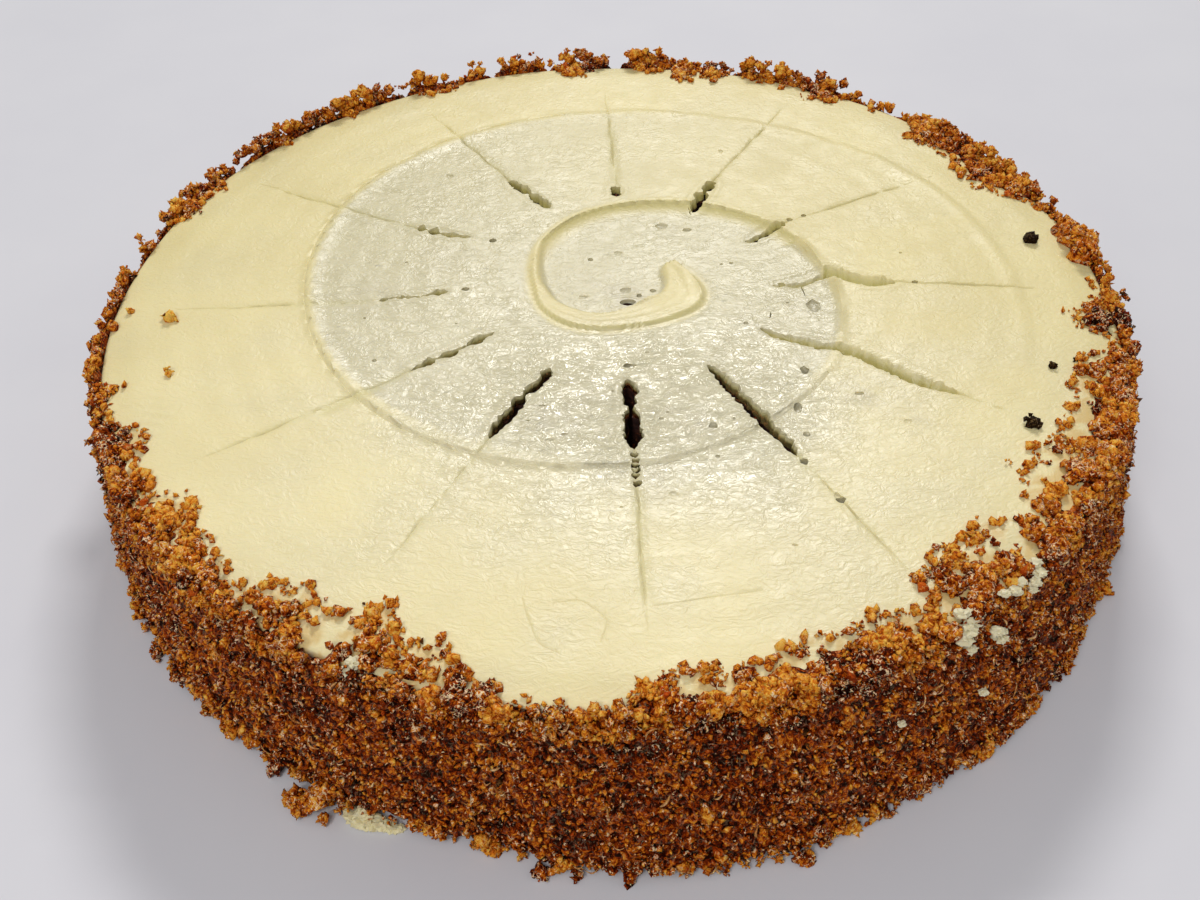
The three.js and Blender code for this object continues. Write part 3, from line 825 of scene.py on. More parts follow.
def icing_shell():
    """Points and faces of the icing before it is cut: top, rounded rim, wall and inside."""
    x, y = disc_grid()
    flat_radius = RIM_RADIUS - RIM_ROUND
    round_about = out_of_round(np.arctan2(y, x))
    x, y = x * flat_radius * round_about, y * flat_radius * round_about
    top = np.column_stack([x, y, icing_height(x, y)])
    n = TOP_CELLS
    row, column = np.meshgrid(np.arange(n), np.arange(n), indexing="ij")
    corner = (row * (n + 1) + column).ravel()
    top_quads = np.stack([corner, corner + 1, corner + n + 2, corner + n + 1], axis=1)

    rim = grid_boundary(n)
    around = np.arctan2(top[rim, 1], top[rim, 0])
    shape = out_of_round(around)
    rows = []
    for turn in (0.33, 0.66, 1.0):
        bend = turn * math.pi / 2
        out = flat_radius + RIM_ROUND * math.sin(bend)
        rows.append((out * shape, top[rim, 2] - RIM_ROUND * (1 - math.cos(bend))))
    for z in np.linspace(ICING_TOP - RIM_ROUND - 2.5, ABOVE_FLOOR, 9):
        rough = 0.45 * fractal(polar(130, around, z), 7.0, 21, 2)
        rows.append(((icing_wall(z) + rough) * shape, z))
    for z in (ABOVE_FLOOR, CAVITY_TOP):
        rows.append(((icing_wall(z) - ICING_SIDE) * shape, z))

    ring, base = len(rim), len(top)
    below = base + np.arange(ring)
    rim_band = np.stack([rim, below, np.roll(below, -1), np.roll(rim, -1)], axis=1)
    wall = ring_quads(len(rows), ring) + base
    ceiling = fan(below + (len(rows) - 1) * ring, base + len(rows) * ring)
    points = [top, *(polar(radius, around, z) for radius, z in rows), [[0, 0, CAVITY_TOP]]]
    return np.concatenate(points), [top_quads, rim_band, wall, ceiling]


def keep_icing_looks(piece):
    """Stores where the icing is pressed, wet, sunk, stained and so on for its material, and where shade
    is painted: in the slots and pits, on slopes facing away from the light and towards the back.
    """
    p = points_of(piece)
    x, y, z = p.T
    wet = wetness(x, y)
    depth = icing_height(x, y) - z
    # Painted shade: the deeper below the top, the darker the colour, olive down the slots and grey in
    # the pits.
    sunk = np.clip((depth - 0.1) / 1.1, 0, 1)
    from_slot, stain = slot_distance(x, y)
    in_slot = from_slot < 1.5
    # Painted shade: deep down, and most of all near the middle, the slots' icing walls take the dark
    # crumb colour of sponge in shade.
    reached = (60 - np.hypot(x, y)) / 14 + 0.9 * noise(p, 2.4, 41)
    bottom = smooth_step((depth - 1.8) / 0.6) * smooth_step(reached)
    dark = np.maximum(stain * smooth_step(depth - 0.6), bottom)
    # Painted shade: darker towards the back and the right.
    back_shade = smooth_step((y + 70) / 130) + 0.4 * smooth_step((x - 40) / 60)
    # Painted shade: slopes of the dish's wall and of the folds that face away from the light, and the
    # scored troughs, are a darker, deeper yellow; the thicker icing there is also its own deeper yellow.
    south = spiral_relief(x, y + 0.5) - spiral_relief(x, y - 0.5)
    eighths, rho = spiral_turns(x, y)
    beside = bell((beyond_line(rho, eighths) + 1.5) / 3.5)
    fold_shade = np.clip((south - 0.06) / 0.4, 0, 1) * beside + 0.45 * score_trough(x, y)
    looks = {
        # The pressed zone's greyer, bluer tone, also spread over the glossy area as painted sheen.
        "pressed": np.maximum(pressed(x, y), np.minimum(1.3 * wet, 1)),
        "wet": wet,
        "sunk": sunk * in_slot,
        "pit_shade": sunk * ~in_slot,
        "stain": dark * in_slot,
        "thin": thin_places(x, y),
        "smear": smears(p),
        "back_shade": np.clip(back_shade, 0, 1.3),
        "fold_shade": np.clip(fold_shade, 0, 1),
    }
    for name, values in looks.items():
        keep_value(piece, name, values)


def make_icing(material):
    piece = new_object("icing_spread", *icing_shell())
    through = [*np.linspace(CAVITY_TOP - 1.5, ICING_TOP + 0.4, 8), ICING_TOP + 3]
    cuts = [
        [slot_prism(i, through) for i in range(len(SLOTS))],
        [score_prism(i) for i in range(len(SLOTS))],
        [stroke_prism(points, 850 + 3 * i) for i, points in enumerate(STROKES)],
        *([spiral_line(*line, 880 + 3 * i)] for i, line in enumerate(SPIRAL_LINES)),
        [crack_prism(*ends, 800 + i) for i, ends in enumerate(CRACKS)],
        [hollow(*pit_shade, 700 + i) for i, pit_shade in enumerate(PITS)],
        bead_hollows(),
    ]
    for parts in cuts:
        carve(piece, joined("cutter", parts))
    keep_icing_looks(piece)
    smooth_shade(piece, 45)
    piece.data.materials.append(material)
    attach(piece, "root")
    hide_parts("icing")


# Icing that was squeezed out under the coat on the left: angle, radius, height, size.
SQUEEZED = [
    (244.8, 132.9, 1.0, 1.5), (245.4, 133.3, 1.1, 1.9), (246.2, 133.5, 0.9, 2.1),
    (247.0, 133.3, 0.9, 2.0), (247.8, 132.9, 0.8, 1.7), (248.8, 132.7, 0.6, 1.4),
    (249.6, 132.5, 0.5, 1.1), (246.4, 132.2, 2.6, 1.8),
]

# Icing that came through the coat below the rim, in the same terms.
CAME_THROUGH = [
    (303.8, 127.6, 42.2, 1.3), (302.8, 128.0, 41.7, 1.6), (302.2, 128.7, 40.6, 1.6),
    (302.7, 130.1, 37.9, 1.1), (303.1, 125.3, 43.5, 1.2), (304.0, 125.8, 43.3, 1.1),
    (305.9, 130.0, 38.5, 1.2), (306.5, 130.5, 35.7, 1.3), (306.7, 130.2, 37.1, 0.9),
    (313.3, 125.8, 43.3, 1.1), (312.8, 127.6, 42.4, 1.2), (312.0, 128.2, 41.4, 1.2),
    (311.4, 128.7, 40.6, 0.9), (310.5, 126.7, 42.9, 1.1), (309.4, 127.4, 42.5, 1.2),
    (308.2, 126.4, 43.0, 1.0), (304.7, 132.5, 23.4, 0.9), (246.0, 125.1, 43.6, 1.3),
    (245.7, 126.7, 42.8, 1.0), (295.3, 131.9, 27.3, 0.8),
]


def make_squeezed_icing(material):
    """Ragged lumps of icing that came out under the coat and through it."""
    points, faces = BALL[3]
    parts = []
    for number, (angle, radius, height, size) in enumerate(SQUEEZED + CAME_THROUGH):
        rough = 0.4 * noise(points * 2, 0.8, 940 + number) + 0.4 * noise(points * 2, 0.35, 960 + number)
        lumpy = points * (1 + rough)[:, None]
        placed = polar(radius, math.radians(angle), height) + size * lumpy * (1.1, 1, 0.7)
        placed[:, 2] = np.maximum(placed[:, 2], 0.15)
        parts.append((placed, [faces]))
    piece = joined("icing_pressed_out", parts)
    keep_value(piece, "pressed", 0.3 + 0.5 * smooth_step((points_of(piece)[:, 2] - 5) / 5))
    smooth_shade(piece, 40)
    piece.data.materials.append(material)
    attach(piece, "root")


# ---- sponge -----------------------------------------------------------------

SPONGE_COLUMNS = 300
SPONGE_RINGS = 40


def sponge_wall(z):
    """Radius of the sponge's side at a height."""
    return icing_wall(z) - ICING_SIDE - LAYER_GAP


def make_sponge(material):
    """The cake inside: it shows down the slots, and from underneath."""
    angle = np.linspace(0, 2 * math.pi, SPONGE_COLUMNS, endpoint=False)
    top_z = CAVITY_TOP - LAYER_GAP
    foot = sponge_wall(0)
    rows = [(sponge_wall(top_z), top_z), (sponge_wall(20), 20.0), (foot, 1.5), (foot - 0.6, 0.6)]
    rows += [((foot - 1.6) * share, 0.0) for share in np.linspace(1, 0.02, SPONGE_RINGS)]
    rings = []
    for radius, z in rows:
        at = polar(radius * out_of_round(angle), angle, z)
        if z == 0:
            pores, own = cells(at, 3.2, 41)
            holes = 0.8 * (own > 0.6) * np.maximum(0, 0.45 - pores)
            at[:, 2] = np.maximum(0, 0.5 * fractal(at, 9.0, 42)) + holes
        rings.append(at)
    points = np.concatenate([*rings, [[0, 0, 0.0], [0, 0, top_z]]])
    first = np.arange(SPONGE_COLUMNS)
    under, over = len(points) - 2, len(points) - 1
    last = (len(rows) - 1) * SPONGE_COLUMNS + first
    faces = [ring_quads(len(rows), SPONGE_COLUMNS), fan(last, under), fan(first, over)[:, [0, 2, 1]]]
    piece = new_object("sponge_cake", points, faces)
    heights = np.linspace(CUT_BOTTOM, top_z + 1, 13)
    carve(piece, joined("slots", [slot_prism(i, heights, 0.35) for i in range(len(SLOTS))]))
    # Painted shade: above its bottom face the sponge is darker, as it shows only in the slots' shade.
    keep_value(piece, "painted_lighting", smooth_step(points_of(piece)[:, 2] - 1.2))
    smooth_shade(piece, 50)
    piece.data.materials.append(material)
    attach(piece, "root")
    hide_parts("sponge")


# ---- crumb coat -------------------------------------------------------------


def scalloped_reach(degrees):
    """How far in from the rim the crumbs come, with the uneven edge that clumps give it."""
    at = polar(125, np.radians(degrees))
    reach = along_rim(REACH, degrees)
    return reach + (1.1 * noise(at, 3.4, 71) + 0.8 * noise(at, 1.9, 72)) * np.clip(reach / 4, 0.2, 1)


# The coat's face runs past this many stops, and under the drifts the bed goes in over
# the icing by this share of the crumbs' own reach.
COAT_STOPS = 6
BED_SHARE = 0.62

# Radius and height of the bed's foot, of its belly just above and of its shoulder.
COAT_FOOT, FOOT_HEIGHT = 130.2, ABOVE_FLOOR
COAT_BELLY, BELLY_HEIGHT = 130.9, 3.5
COAT_SHOULDER, SHOULDER_HEIGHT = 128.3, 38.5


def behind(degrees):
    """From 0 at the front to 1 round the back of the cake."""
    return smooth_step((np.sin(np.radians(degrees)) + 0.1) / 0.4)


def coat_section(degrees):
    """The bed's outer face at each angle: radius and height of its corners."""
    around = np.radians(degrees)
    at = polar(128, around)
    fill = np.clip(along_rim(REACH, degrees) / 4.5, 0, 1)
    edge = RIM_RADIUS + 0.2 - BED_SHARE * np.maximum(0, scalloped_reach(degrees)) * fill
    heap = along_rim(HEAPED, degrees)
    lip = ICING_TOP - 1.3 + 0.45 * heap + 0.6 * noise(at, 6.0, 73)
    # Behind, where no crumbs stand on the rim, the icing's own edge is the skyline.
    lip -= 2.9 * behind(degrees) * smooth_step(1 - heap / 1.5)
    shape = out_of_round(around)
    ground = icing_height(edge * shape * np.cos(around), edge * shape * np.sin(around))
    foot = along_rim(FOOT, degrees) + 0.8 * noise(at, 9.0, 74)
    corners = [
        (COAT_FOOT + foot, FOOT_HEIGHT),
        (COAT_BELLY + foot, BELLY_HEIGHT),
        (COAT_SHOULDER + 0.25 * foot, SHOULDER_HEIGHT),
        (RIM_RADIUS + 1.3, lip),
        (RIM_RADIUS + 0.5 - 0.9 * fill, lip - 0.1),
        (edge + 0.9 * fill, np.where(fill > 0, ground + 1.0 * fill - 0.9, lip - 0.5)),
        (edge - 0.4, np.minimum(ground - 1.2, lip - 1.0)),
    ]
    return np.stack([np.stack([r * shape, z + 0 * around], axis=-1) for r, z in corners], axis=1)


def on_coat(degrees, stop):
    """Point and outward direction (in the section) at a fractional stop along the face."""
    section = coat_section(degrees)
    i = np.clip(np.floor(stop).astype(int), 0, COAT_STOPS - 1)
    t = (stop - i)[:, None]
    pick = np.arange(len(degrees))
    a, b = section[pick, i], section[pick, i + 1]
    along = (b - a) / np.maximum(np.linalg.norm(b - a, axis=1), 1e-6)[:, None]
    return a + (b - a) * t, np.column_stack([along[:, 1], -along[:, 0]])


def to_space(degrees, rz):
    """Points in space, or directions, from radius and height in the section at each angle."""
    return polar(rz[:, 0], np.radians(degrees), rz[:, 1])


# Bare places in the coat where the icing shows: angle, height, half sizes.
BARE_SPOTS = [
    (302.8, 41.2, 1.4, 2.8), (306.3, 37.4, 1.0, 2.2), (312.4, 42.2, 1.1, 2.4), (309.6, 42.6, 1.1, 1.6),
    (248.0, 41.5, 1.6, 0.9), (238.5, 42.5, 1.6, 0.9), (232.0, 42.6, 1.2, 0.7), (254.0, 42.6, 1.4, 0.8),
    (247.5, 1.6, 2.8, 1.8), (251.6, 1.2, 2.0, 1.3), (334.5, 43.0, 1.2, 0.7),
]


def bareness(degrees, z):
    """From 0 in the full coat to 1 in the middle of a bare spot."""
    bare = np.zeros(len(degrees))
    for at, height, wide, tall in BARE_SPOTS:
        distance = np.hypot(turned(degrees, at) / wide, (z - height) / tall)
        bare = np.maximum(bare, smooth_step(1.5 - distance))
    return bare


# The larger gaps in the drifts: angle, radius, half length round the rim, half width.
TOP_GAPS = [
    (229.5, 121.2, 4.0, 1.4), (234.2, 124.2, 2.8, 1.8), (236.8, 126.3, 3.5, 1.6),
    (240.2, 121.6, 3.4, 1.5), (244.3, 119.6, 3.2, 2.4), (246.0, 125.6, 3.0, 1.7),
    (239.8, 117.8, 3.8, 1.1), (242.4, 125.2, 3.6, 1.2), (247.5, 125.6, 3.0, 1.0),
    (252.5, 125.4, 6.5, 0.9), (259.0, 125.4, 3.0, 0.8), (276.5, 122.6, 4.0, 1.3),
    (280.5, 122.4, 3.0, 1.1), (284.0, 121.8, 2.0, 0.8), (288.6, 119.6, 1.6, 0.8),
    (299.3, 122.0, 3.4, 2.0), (309.2, 117.4, 3.4, 1.6), (306.4, 121.5, 2.0, 1.0),
    (314.9, 122.6, 3.0, 2.0), (314.5, 116.8, 3.0, 1.1), (319.2, 117.0, 2.0, 1.8),
    (324.6, 121.8, 3.2, 1.0), (326.6, 117.6, 4.2, 2.2), (335.4, 116.8, 5.0, 2.4),
    (345.6, 122.0, 3.6, 1.5), (341.4, 117.0, 2.4, 1.0), (350.2, 121.0, 3.0, 2.6),
    (355.4, 124.0, 4.0, 1.3), (312.4, 127.2, 3.0, 1.5), (302.6, 126.4, 1.6, 1.2),
    (300.9, 125.0, 1.4, 1.0), (215.0, 119.6, 2.0, 1.0), (221.4, 122.6, 2.4, 1.0),
    (30.0, 121.6, 3.0, 1.0),
]


# Where the left drift lies more open than the rest: angle, spread, by how much.
OPEN_DRIFT = (240, 8, 0.3)


def gaps_on_top(p):
    """Where the crumbs on top leave the icing bare, above 0."""
    degrees = np.degrees(np.arctan2(p[:, 1], p[:, 0]))
    radius = np.hypot(p[:, 0], p[:, 1])
    flat = p * (1, 1, 0)
    ragged = 0.45 * noise(flat, 1.8, 77)
    middle, spread, more = OPEN_DRIFT
    open_drift = more * bell((degrees % 360 - middle) / spread)
    gap = noise(flat, 4.6, 75) + 0.6 * noise(flat, 2.4, 76) - 0.66 + open_drift
    for angle, at, long, wide in TOP_GAPS:
        along = np.radians(turned(degrees, angle)) * at / long
        gap = np.maximum(gap, 1.25 - np.hypot(along, (radius - at) / wide) + ragged)
    return gap


def hollow_at(p):
    """Where the coat has sunk between clumps, from 0 to about 1."""
    broad = noise(p, 5.0, 97) + 0.5 * noise(p, 2.6, 98)
    return np.clip(1.6 * (broad - 0.35), 0, 1)


# How far a dome reaches in its cell, how much of the relief shows, and how deep the bed
# and the loose crumbs lie under the coat's plain face.
DOME_REACH = 0.75
RELIEF = 0.8
BED_SUNK = 1.6
GRAINS_SUNK = 1.5


def domes(p, size, seed, tall):
    """Half balls of uneven height packed side by side."""
    distance, own = cells(p, size, seed)
    return np.sqrt(np.maximum(0, 1 - (distance / DOME_REACH) ** 2)) * (0.2 + tall * own)


def crumb_relief(p):
    """Height of pressed crumbs over the bed."""
    crumbs = domes(p, 4.4, 81, 1.0) + domes(p, 1.8, 91, 0.9)
    return crumbs + 0.3 * noise(p, 0.9, 95) - 2.0 * hollow_at(p)


# Columns of the bed round the cake, and its rows from each stop to the next.
BED_COLUMNS = 920
ROWS_PER_STOP = (2, 32, 5, 3, 8, 1)


def make_coat_bed(material):
    """The crumbs pressed into the icing, as one bumpy ring."""
    starts = [i + np.arange(n) / n for i, n in enumerate(ROWS_PER_STOP)]
    degrees = np.linspace(0, 360, BED_COLUMNS, endpoint=False)
    random = np.random.default_rng(88)
    points, heights = [], []
    for stop in np.concatenate([*starts, [COAT_STOPS]]):
        spread = random.uniform(-0.3, 0.3, (2, BED_COLUMNS))
        at_stop = np.clip(stop + 0.03 * spread[1], 0, COAT_STOPS)
        rz, outward = on_coat(degrees + 0.3 * spread[0], at_stop)
        at = to_space(degrees, rz)
        height = crumb_relief(at)
        on_top = smooth_step((stop - 3.2) / 0.8)
        settle = 1 - 0.75 * on_top
        bare = bareness(degrees, rz[:, 1])
        jagged = random.uniform(-0.55, 0.55, BED_COLUMNS) * (1 - on_top)
        rz = rz + outward * (((RELIEF * height - BED_SUNK) * settle + jagged) * (1 - bare))[:, None]
        if stop < 3:
            rz[:, 0] = rz[:, 0] * (1 - bare) + (icing_wall(rz[:, 1]) - 1.0) * bare
        sink = np.maximum(bare, smooth_step(6 * gaps_on_top(at)) * on_top) if stop >= 3 else 0
        rz[:, 1] = np.maximum(rz[:, 1] - 2.2 * sink, 0.25)
        points.append(to_space(degrees, rz))
        heights.append(height + 2.2 * jagged)
    for z in (ICING_TOP - 4.0, ABOVE_FLOOR):
        points.append(polar(icing_wall(z) - 1.2, np.radians(degrees), z))
        heights.append(np.zeros(BED_COLUMNS))
    quads = ring_quads(len(points), BED_COLUMNS, closed_section=True)[:, ::-1]
    piece = new_object("crumb_bed", np.concatenate(points), [quads])
    # Painted shade: the bed is darker where it lies lower, between the crumbs; on top of that its tone
    # varies at random.
    toast_and_shading = 0.86 - 0.14 * np.concatenate(heights)
    toast_and_shading = toast_and_shading + random.uniform(-0.16, 0.16, len(toast_and_shading))
    keep_value(piece, "toast_and_shading", np.clip(toast_and_shading, 0.1, 1))
    keep_value(piece, "painted_glint_weight", np.full(len(toast_and_shading), 0.25))
    piece.data.materials.append(material)
    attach(piece, "root")
    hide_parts("crumb_coat")


# ---- loose crumbs -----------------------------------------------------------


def random_turns(random, count):
    """That many random rotation matrices."""
    quaternions = random.normal(size=(count, 4))
    w, x, y, z = (quaternions / np.linalg.norm(quaternions, axis=1)[:, None]).T
    rows = [
        [1 - 2 * (y * y + z * z), 2 * (x * y - z * w), 2 * (x * z + y * w)],
        [2 * (x * y + z * w), 1 - 2 * (x * x + z * z), 2 * (y * z - x * w)],
        [2 * (x * z - y * w), 2 * (y * z + x * w), 1 - 2 * (x * x + y * y)],
    ]
    return np.array(rows).transpose(2, 0, 1)


# An eight-sided flake of radius 1.
SHARD = (
    np.array([[1, 0, 0], [0, 1, 0], [-1, 0, 0], [0, -1, 0], [0, 0, 1], [0, 0, -1]], float),
    np.array([[0, 1, 4], [1, 2, 4], [2, 3, 4], [3, 0, 4], [1, 0, 5], [2, 1, 5], [3, 2, 5], [0, 3, 5]]),
)

# Crumbs by size, from the smallest radius: their shape and how rough it is.
SHAPES = [(0.0, SHARD, 0.55), (0.98, BALL[1], 0.42), (1.5, BALL[2], 0.26)]


def facing_out(p):
    """The direction that the coat's surface faces at each place, a little upward on the wall."""
    round_wall = smooth_step((ICING_TOP + 1 - p[:, 2]) / 4)
    out = p / np.hypot(p[:, 0], p[:, 1])[:, None] * round_wall[:, None]
    out[:, 2] = 1.45 - round_wall
    return out / np.linalg.norm(out, axis=1)[:, None]


def grain_mesh(random, grains, shape, rough):
    """Points, tones and triangles of jagged flakes made from one basic shape."""
    points, faces = shape
    count = len(grains)
    middle, radius = grains[:, None, :3], grains[:, None, 3:4]
    knobs = random.uniform(1 - rough, 1 + rough, (count, len(points), 1))
    low, high = ((0.5, 0.75, 0.9), (0.9, 1.15, 1.4)) if len(points) == 6 else (0.75, 1.25)
    squash = random.uniform(low, high, (count, 3))[:, None, :]
    shaped = np.einsum("nij,nkj->nki", random_turns(random, count), points * knobs * squash)
    # Painted light and shade: each flake is lighter on the side that faces out and up and where its
    # corners stick out, darker where they sink in; the side facing out also gets the weight of its
    # painted highlights.
    rise = np.einsum("nki,ni->nk", shaped, facing_out(grains[:, :3]))
    tones = grains[:, 4:5] - 0.15 * rise - 0.07 * (knobs[:, :, 0] - 1) / rough
    placed = (middle + shaped * radius).reshape(-1, 3)
    placed[:, 2] = np.maximum(placed[:, 2], 0.1)
    corners = faces[None] + len(points) * np.arange(count)[:, None, None]
    return placed, tones.ravel(), np.clip(0.45 + 0.65 * rise, 0, 1).ravel(), corners.reshape(-1, 3)


def make_grains(name, grains, material, seed):
    """One mesh of jagged crumbs. Each row of grains is a place, a radius and a toasting."""
    random = np.random.default_rng(seed)
    made, total = [], 0
    limits = [least for least, _, _ in SHAPES] + [99]
    for (least, shape, rough), most in zip(SHAPES, limits[1:]):
        chosen = grains[(grains[:, 3] >= least) & (grains[:, 3] < most)]
        placed, toast_and_shading, painted_glint_weight, faces = grain_mesh(random, chosen, shape, rough)
        made.append((placed, toast_and_shading, painted_glint_weight, faces + total))
        total += len(placed)
    points, toast_and_shading, painted_glint_weight, faces = (np.concatenate(arrays) for arrays in zip(*made))
    piece = new_object(name, points, [faces])
    keep_value(piece, "toast_and_shading", toast_and_shading)
    keep_value(piece, "painted_glint_weight", painted_glint_weight)
    piece.data.materials.append(material)
    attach(piece, "root")


def clump_grains(random, middles, outward, sizes, toasts):
    """The grains of many small clumps: a lumpy core each, with flakes stuck to its outer side."""
    counts = (2.5 + 2.4 * sizes**1.4).astype(int)
    of = np.repeat(np.arange(len(middles)), counts)
    offset = random.normal(size=(len(of), 3))
    offset *= random.uniform(0.62, 1.0, (len(of), 1)) / np.linalg.norm(offset, axis=1)[:, None]
    rise = np.sum(offset * outward[of], axis=1)
    offset += ((np.abs(rise) * 0.9 - rise)[:, None]) * outward[of]
    radii = np.clip(sizes[of] * random.uniform(0.22, 0.5, len(of)), 0.4, 1.1)
    toast_and_shading = np.clip(toasts[of] + 0.06 * random.normal(size=len(of)), 0, 1)
    flakes = np.column_stack([middles[of] + offset * sizes[of][:, None], radii, toast_and_shading])
    big = sizes > 0.9
    cores = np.column_stack([middles[big], 0.78 * sizes[big], toasts[big]])
    return np.concatenate([flakes, cores])


# How many crumbs and clumps are tried for each part of the coat.
WALL_SHARDS = 25000
WALL_CLUMPS = 900
RIM_TRIES = 1050
TOP_TRIES = 3600
FRINGE_TRIES = 1300
TOE_CLUMPS = 420

# Pale shreds: how many, rows of points along each, and how deep they lie.
SHREDS, SHRED_ROWS, SHREDS_SUNK = 420, 6, 0.7

# Shares of burnt and of carrot crumbs, and the toasting that marks one as burnt.
BURNT_SHARE, CARROT_SHARE, BURNT_TOAST = 0.008, 0.018, 2.0

# Where the heap is this high, all the clumps tried on the rim are kept.
HIGHEST_HEAP = 4.6

# Where the clumps on the rim were pushed inward: angle, spread, by how much.
PUSHED_IN = (22, 13, 1.7)


def coat_tone(p):
    """How much more or less toasted than the rest each place in the coat is."""
    tone = 0.10 * noise(p, 15.0, 111) + 0.40 * noise(p, 5.0, 112) + 0.24 * noise(p, 2.6, 113)
    return np.clip(tone, -0.1, 0.4)


def toasting(random, middle, spread, at, least):
    """The toasting of clumps: a middle value, some chance and the coat's own patches."""
    return np.maximum(middle + spread * random.normal(size=len(at)) + coat_tone(at), least)


def wall_shards(random):
    """Small single crumbs that cover the coat's wall."""
    count = WALL_SHARDS
    degrees = random.uniform(0, 360, count)
    stop = random.uniform(0.1, 2.9, count)
    moved = (stop < 1) & (random.random(count) < 0.82)
    stop = np.where(moved, 1 + 1.6 * random.random(count), stop)
    rz, outward = on_coat(degrees, stop)
    keep = bareness(degrees, rz[:, 1]) < random.uniform(0.25, 0.75, count)
    keep &= (gaps_on_top(to_space(degrees, rz)) < 0.5) | (stop < 2)
    degrees, rz, outward, stop = degrees[keep], rz[keep], outward[keep], stop[keep]
    at = to_space(degrees, rz)
    count = len(at)
    radii = 0.44 + 0.56 * random.random(count) ** 2.0
    lift = RELIEF * crumb_relief(at) - GRAINS_SUNK + random.uniform(-0.2, 0.8, count) * radii * 1.3
    at = to_space(degrees, rz + outward * lift[:, None])
    # Painted shade: the crumbs are darker where the coat has sunk between clumps.
    toasts = 0.6 + 0.04 * random.normal(size=count) + 0.3 * hollow_at(at) + coat_tone(at)
    toasts -= 0.05 * smooth_step(stop - 1.7)
    return np.column_stack([at, radii, np.clip(toasts, 0.46, 1)])


def wall_clumps(random):
    """Small clumps on the wall, apart from its hollows."""
    degrees = random.uniform(0, 360, WALL_CLUMPS)
    rz, outward = on_coat(degrees, random.uniform(0.6, 2.5, WALL_CLUMPS))
    at = to_space(degrees, rz)
    keep = (bareness(degrees, rz[:, 1]) < 0.3) & (hollow_at(at) < 0.2)
    degrees, rz, outward, at = degrees[keep], rz[keep], outward[keep], at[keep]
    sizes = 0.9 + 0.95 * random.random(len(at)) ** 1.8
    at = to_space(degrees, rz + outward * (RELIEF * crumb_relief(at) - GRAINS_SUNK)[:, None])
    toasts = toasting(random, 0.56, 0.04, at, 0.46)
    return clump_grains(random, at, to_space(degrees, outward), sizes, toasts)


def rim_grains(random):
    """Clumps heaped along the rim, higher behind where they hide the icing's edge."""
    degrees = random.uniform(0, 360, RIM_TRIES)
    heap = along_rim(HEAPED, degrees)
    keep = random.random(RIM_TRIES) * HIGHEST_HEAP < np.clip(heap + 0.3, 0, HIGHEST_HEAP)
    degrees, heap = degrees[keep], heap[keep]
    count = len(degrees)
    share = random.random(count) ** 0.8
    sizes = 1.1 + 1.3 * random.random(count) ** 1.4
    sizes = np.minimum(sizes, 0.9 + 0.4 * np.maximum(heap, 0))
    back = behind(degrees)
    middle, spread, depth = PUSHED_IN
    pushed_in = depth * bell((degrees - middle) / spread)
    scatter = 0.9 * random.normal(size=count)
    out = RIM_RADIUS + 1.4 + back + scatter - 0.25 * share * heap - pushed_in
    height = ICING_TOP - 1.6 + share * (heap + 1.2 + 0.8 * back - 0.5 * sizes)
    middles = polar(out * out_of_round(np.radians(degrees)), np.radians(degrees), height)
    keep = (bareness(degrees, height) < 0.5) & (gaps_on_top(middles) < 0.4)
    outward = to_space(degrees, np.tile([0.5, 0.85], (count, 1)))
    toasts = toasting(random, 0.52, 0.05, middles, 0.42) - 0.08 * back
    return clump_grains(random, middles[keep], outward[keep], sizes[keep], toasts[keep])


def top_grains(random):
    """Clumps on the drifts that reach in over the icing, thinning out to their edge."""
    degrees = random.uniform(0, 360, TOP_TRIES)
    inward = random.uniform(-1.5, 18, TOP_TRIES)
    reach = scalloped_reach(degrees)
    around = np.radians(degrees)
    at = polar((RIM_RADIUS - inward) * out_of_round(around), around)
    inside = (reach - 1.2 - inward) / (0.35 * np.maximum(reach, 0) + 1.5)
    keep = (reach > 0.5) & (inside > 0.0) & (gaps_on_top(at) < 0.12 * np.clip(inside, 0, 1.5))
    keep &= random.random(TOP_TRIES) < np.clip(0.35 + 0.6 * inside, 0, 0.8)
    inside, at, reach, inward = inside[keep], at[keep], reach[keep], inward[keep]
    sizes = (1.0 + 1.7 * random.random(len(at)) ** 1.5) * np.clip(0.75 + 0.3 * inside, 0.75, 1.1)
    bed = 0.5 * np.clip((BED_SHARE * reach - inward) / 2, 0, 1)
    at[:, 2] = icing_height(at[:, 0], at[:, 1]) + bed - 0.15 * sizes
    toasts = np.clip(0.40 + 0.3 * inside, 0, 0.54) + 0.05 * random.normal(size=len(at)) + coat_tone(at)
    return clump_grains(random, at, np.tile([0.0, 0.0, 1.0], (len(at), 1)), sizes, toasts)


def fringe_grains(random):
    """Single crumbs scattered along the drifts' edges."""
    degrees = random.uniform(0, 360, FRINGE_TRIES)
    reach = scalloped_reach(degrees)
    degrees, reach = degrees[reach > 0.8], reach[reach > 0.8]
    around = np.radians(degrees)
    radius = RIM_RADIUS - reach + 2.2 - 1.1 * np.abs(random.normal(size=len(reach)))
    at = polar(radius * out_of_round(around), around)
    radii = 0.4 + 0.8 * random.random(len(at)) ** 2
    at[:, 2] = icing_height(at[:, 0], at[:, 1]) + 0.45 * radii
    return np.column_stack([at, radii, 0.42 + 0.09 * random.normal(size=len(at))])


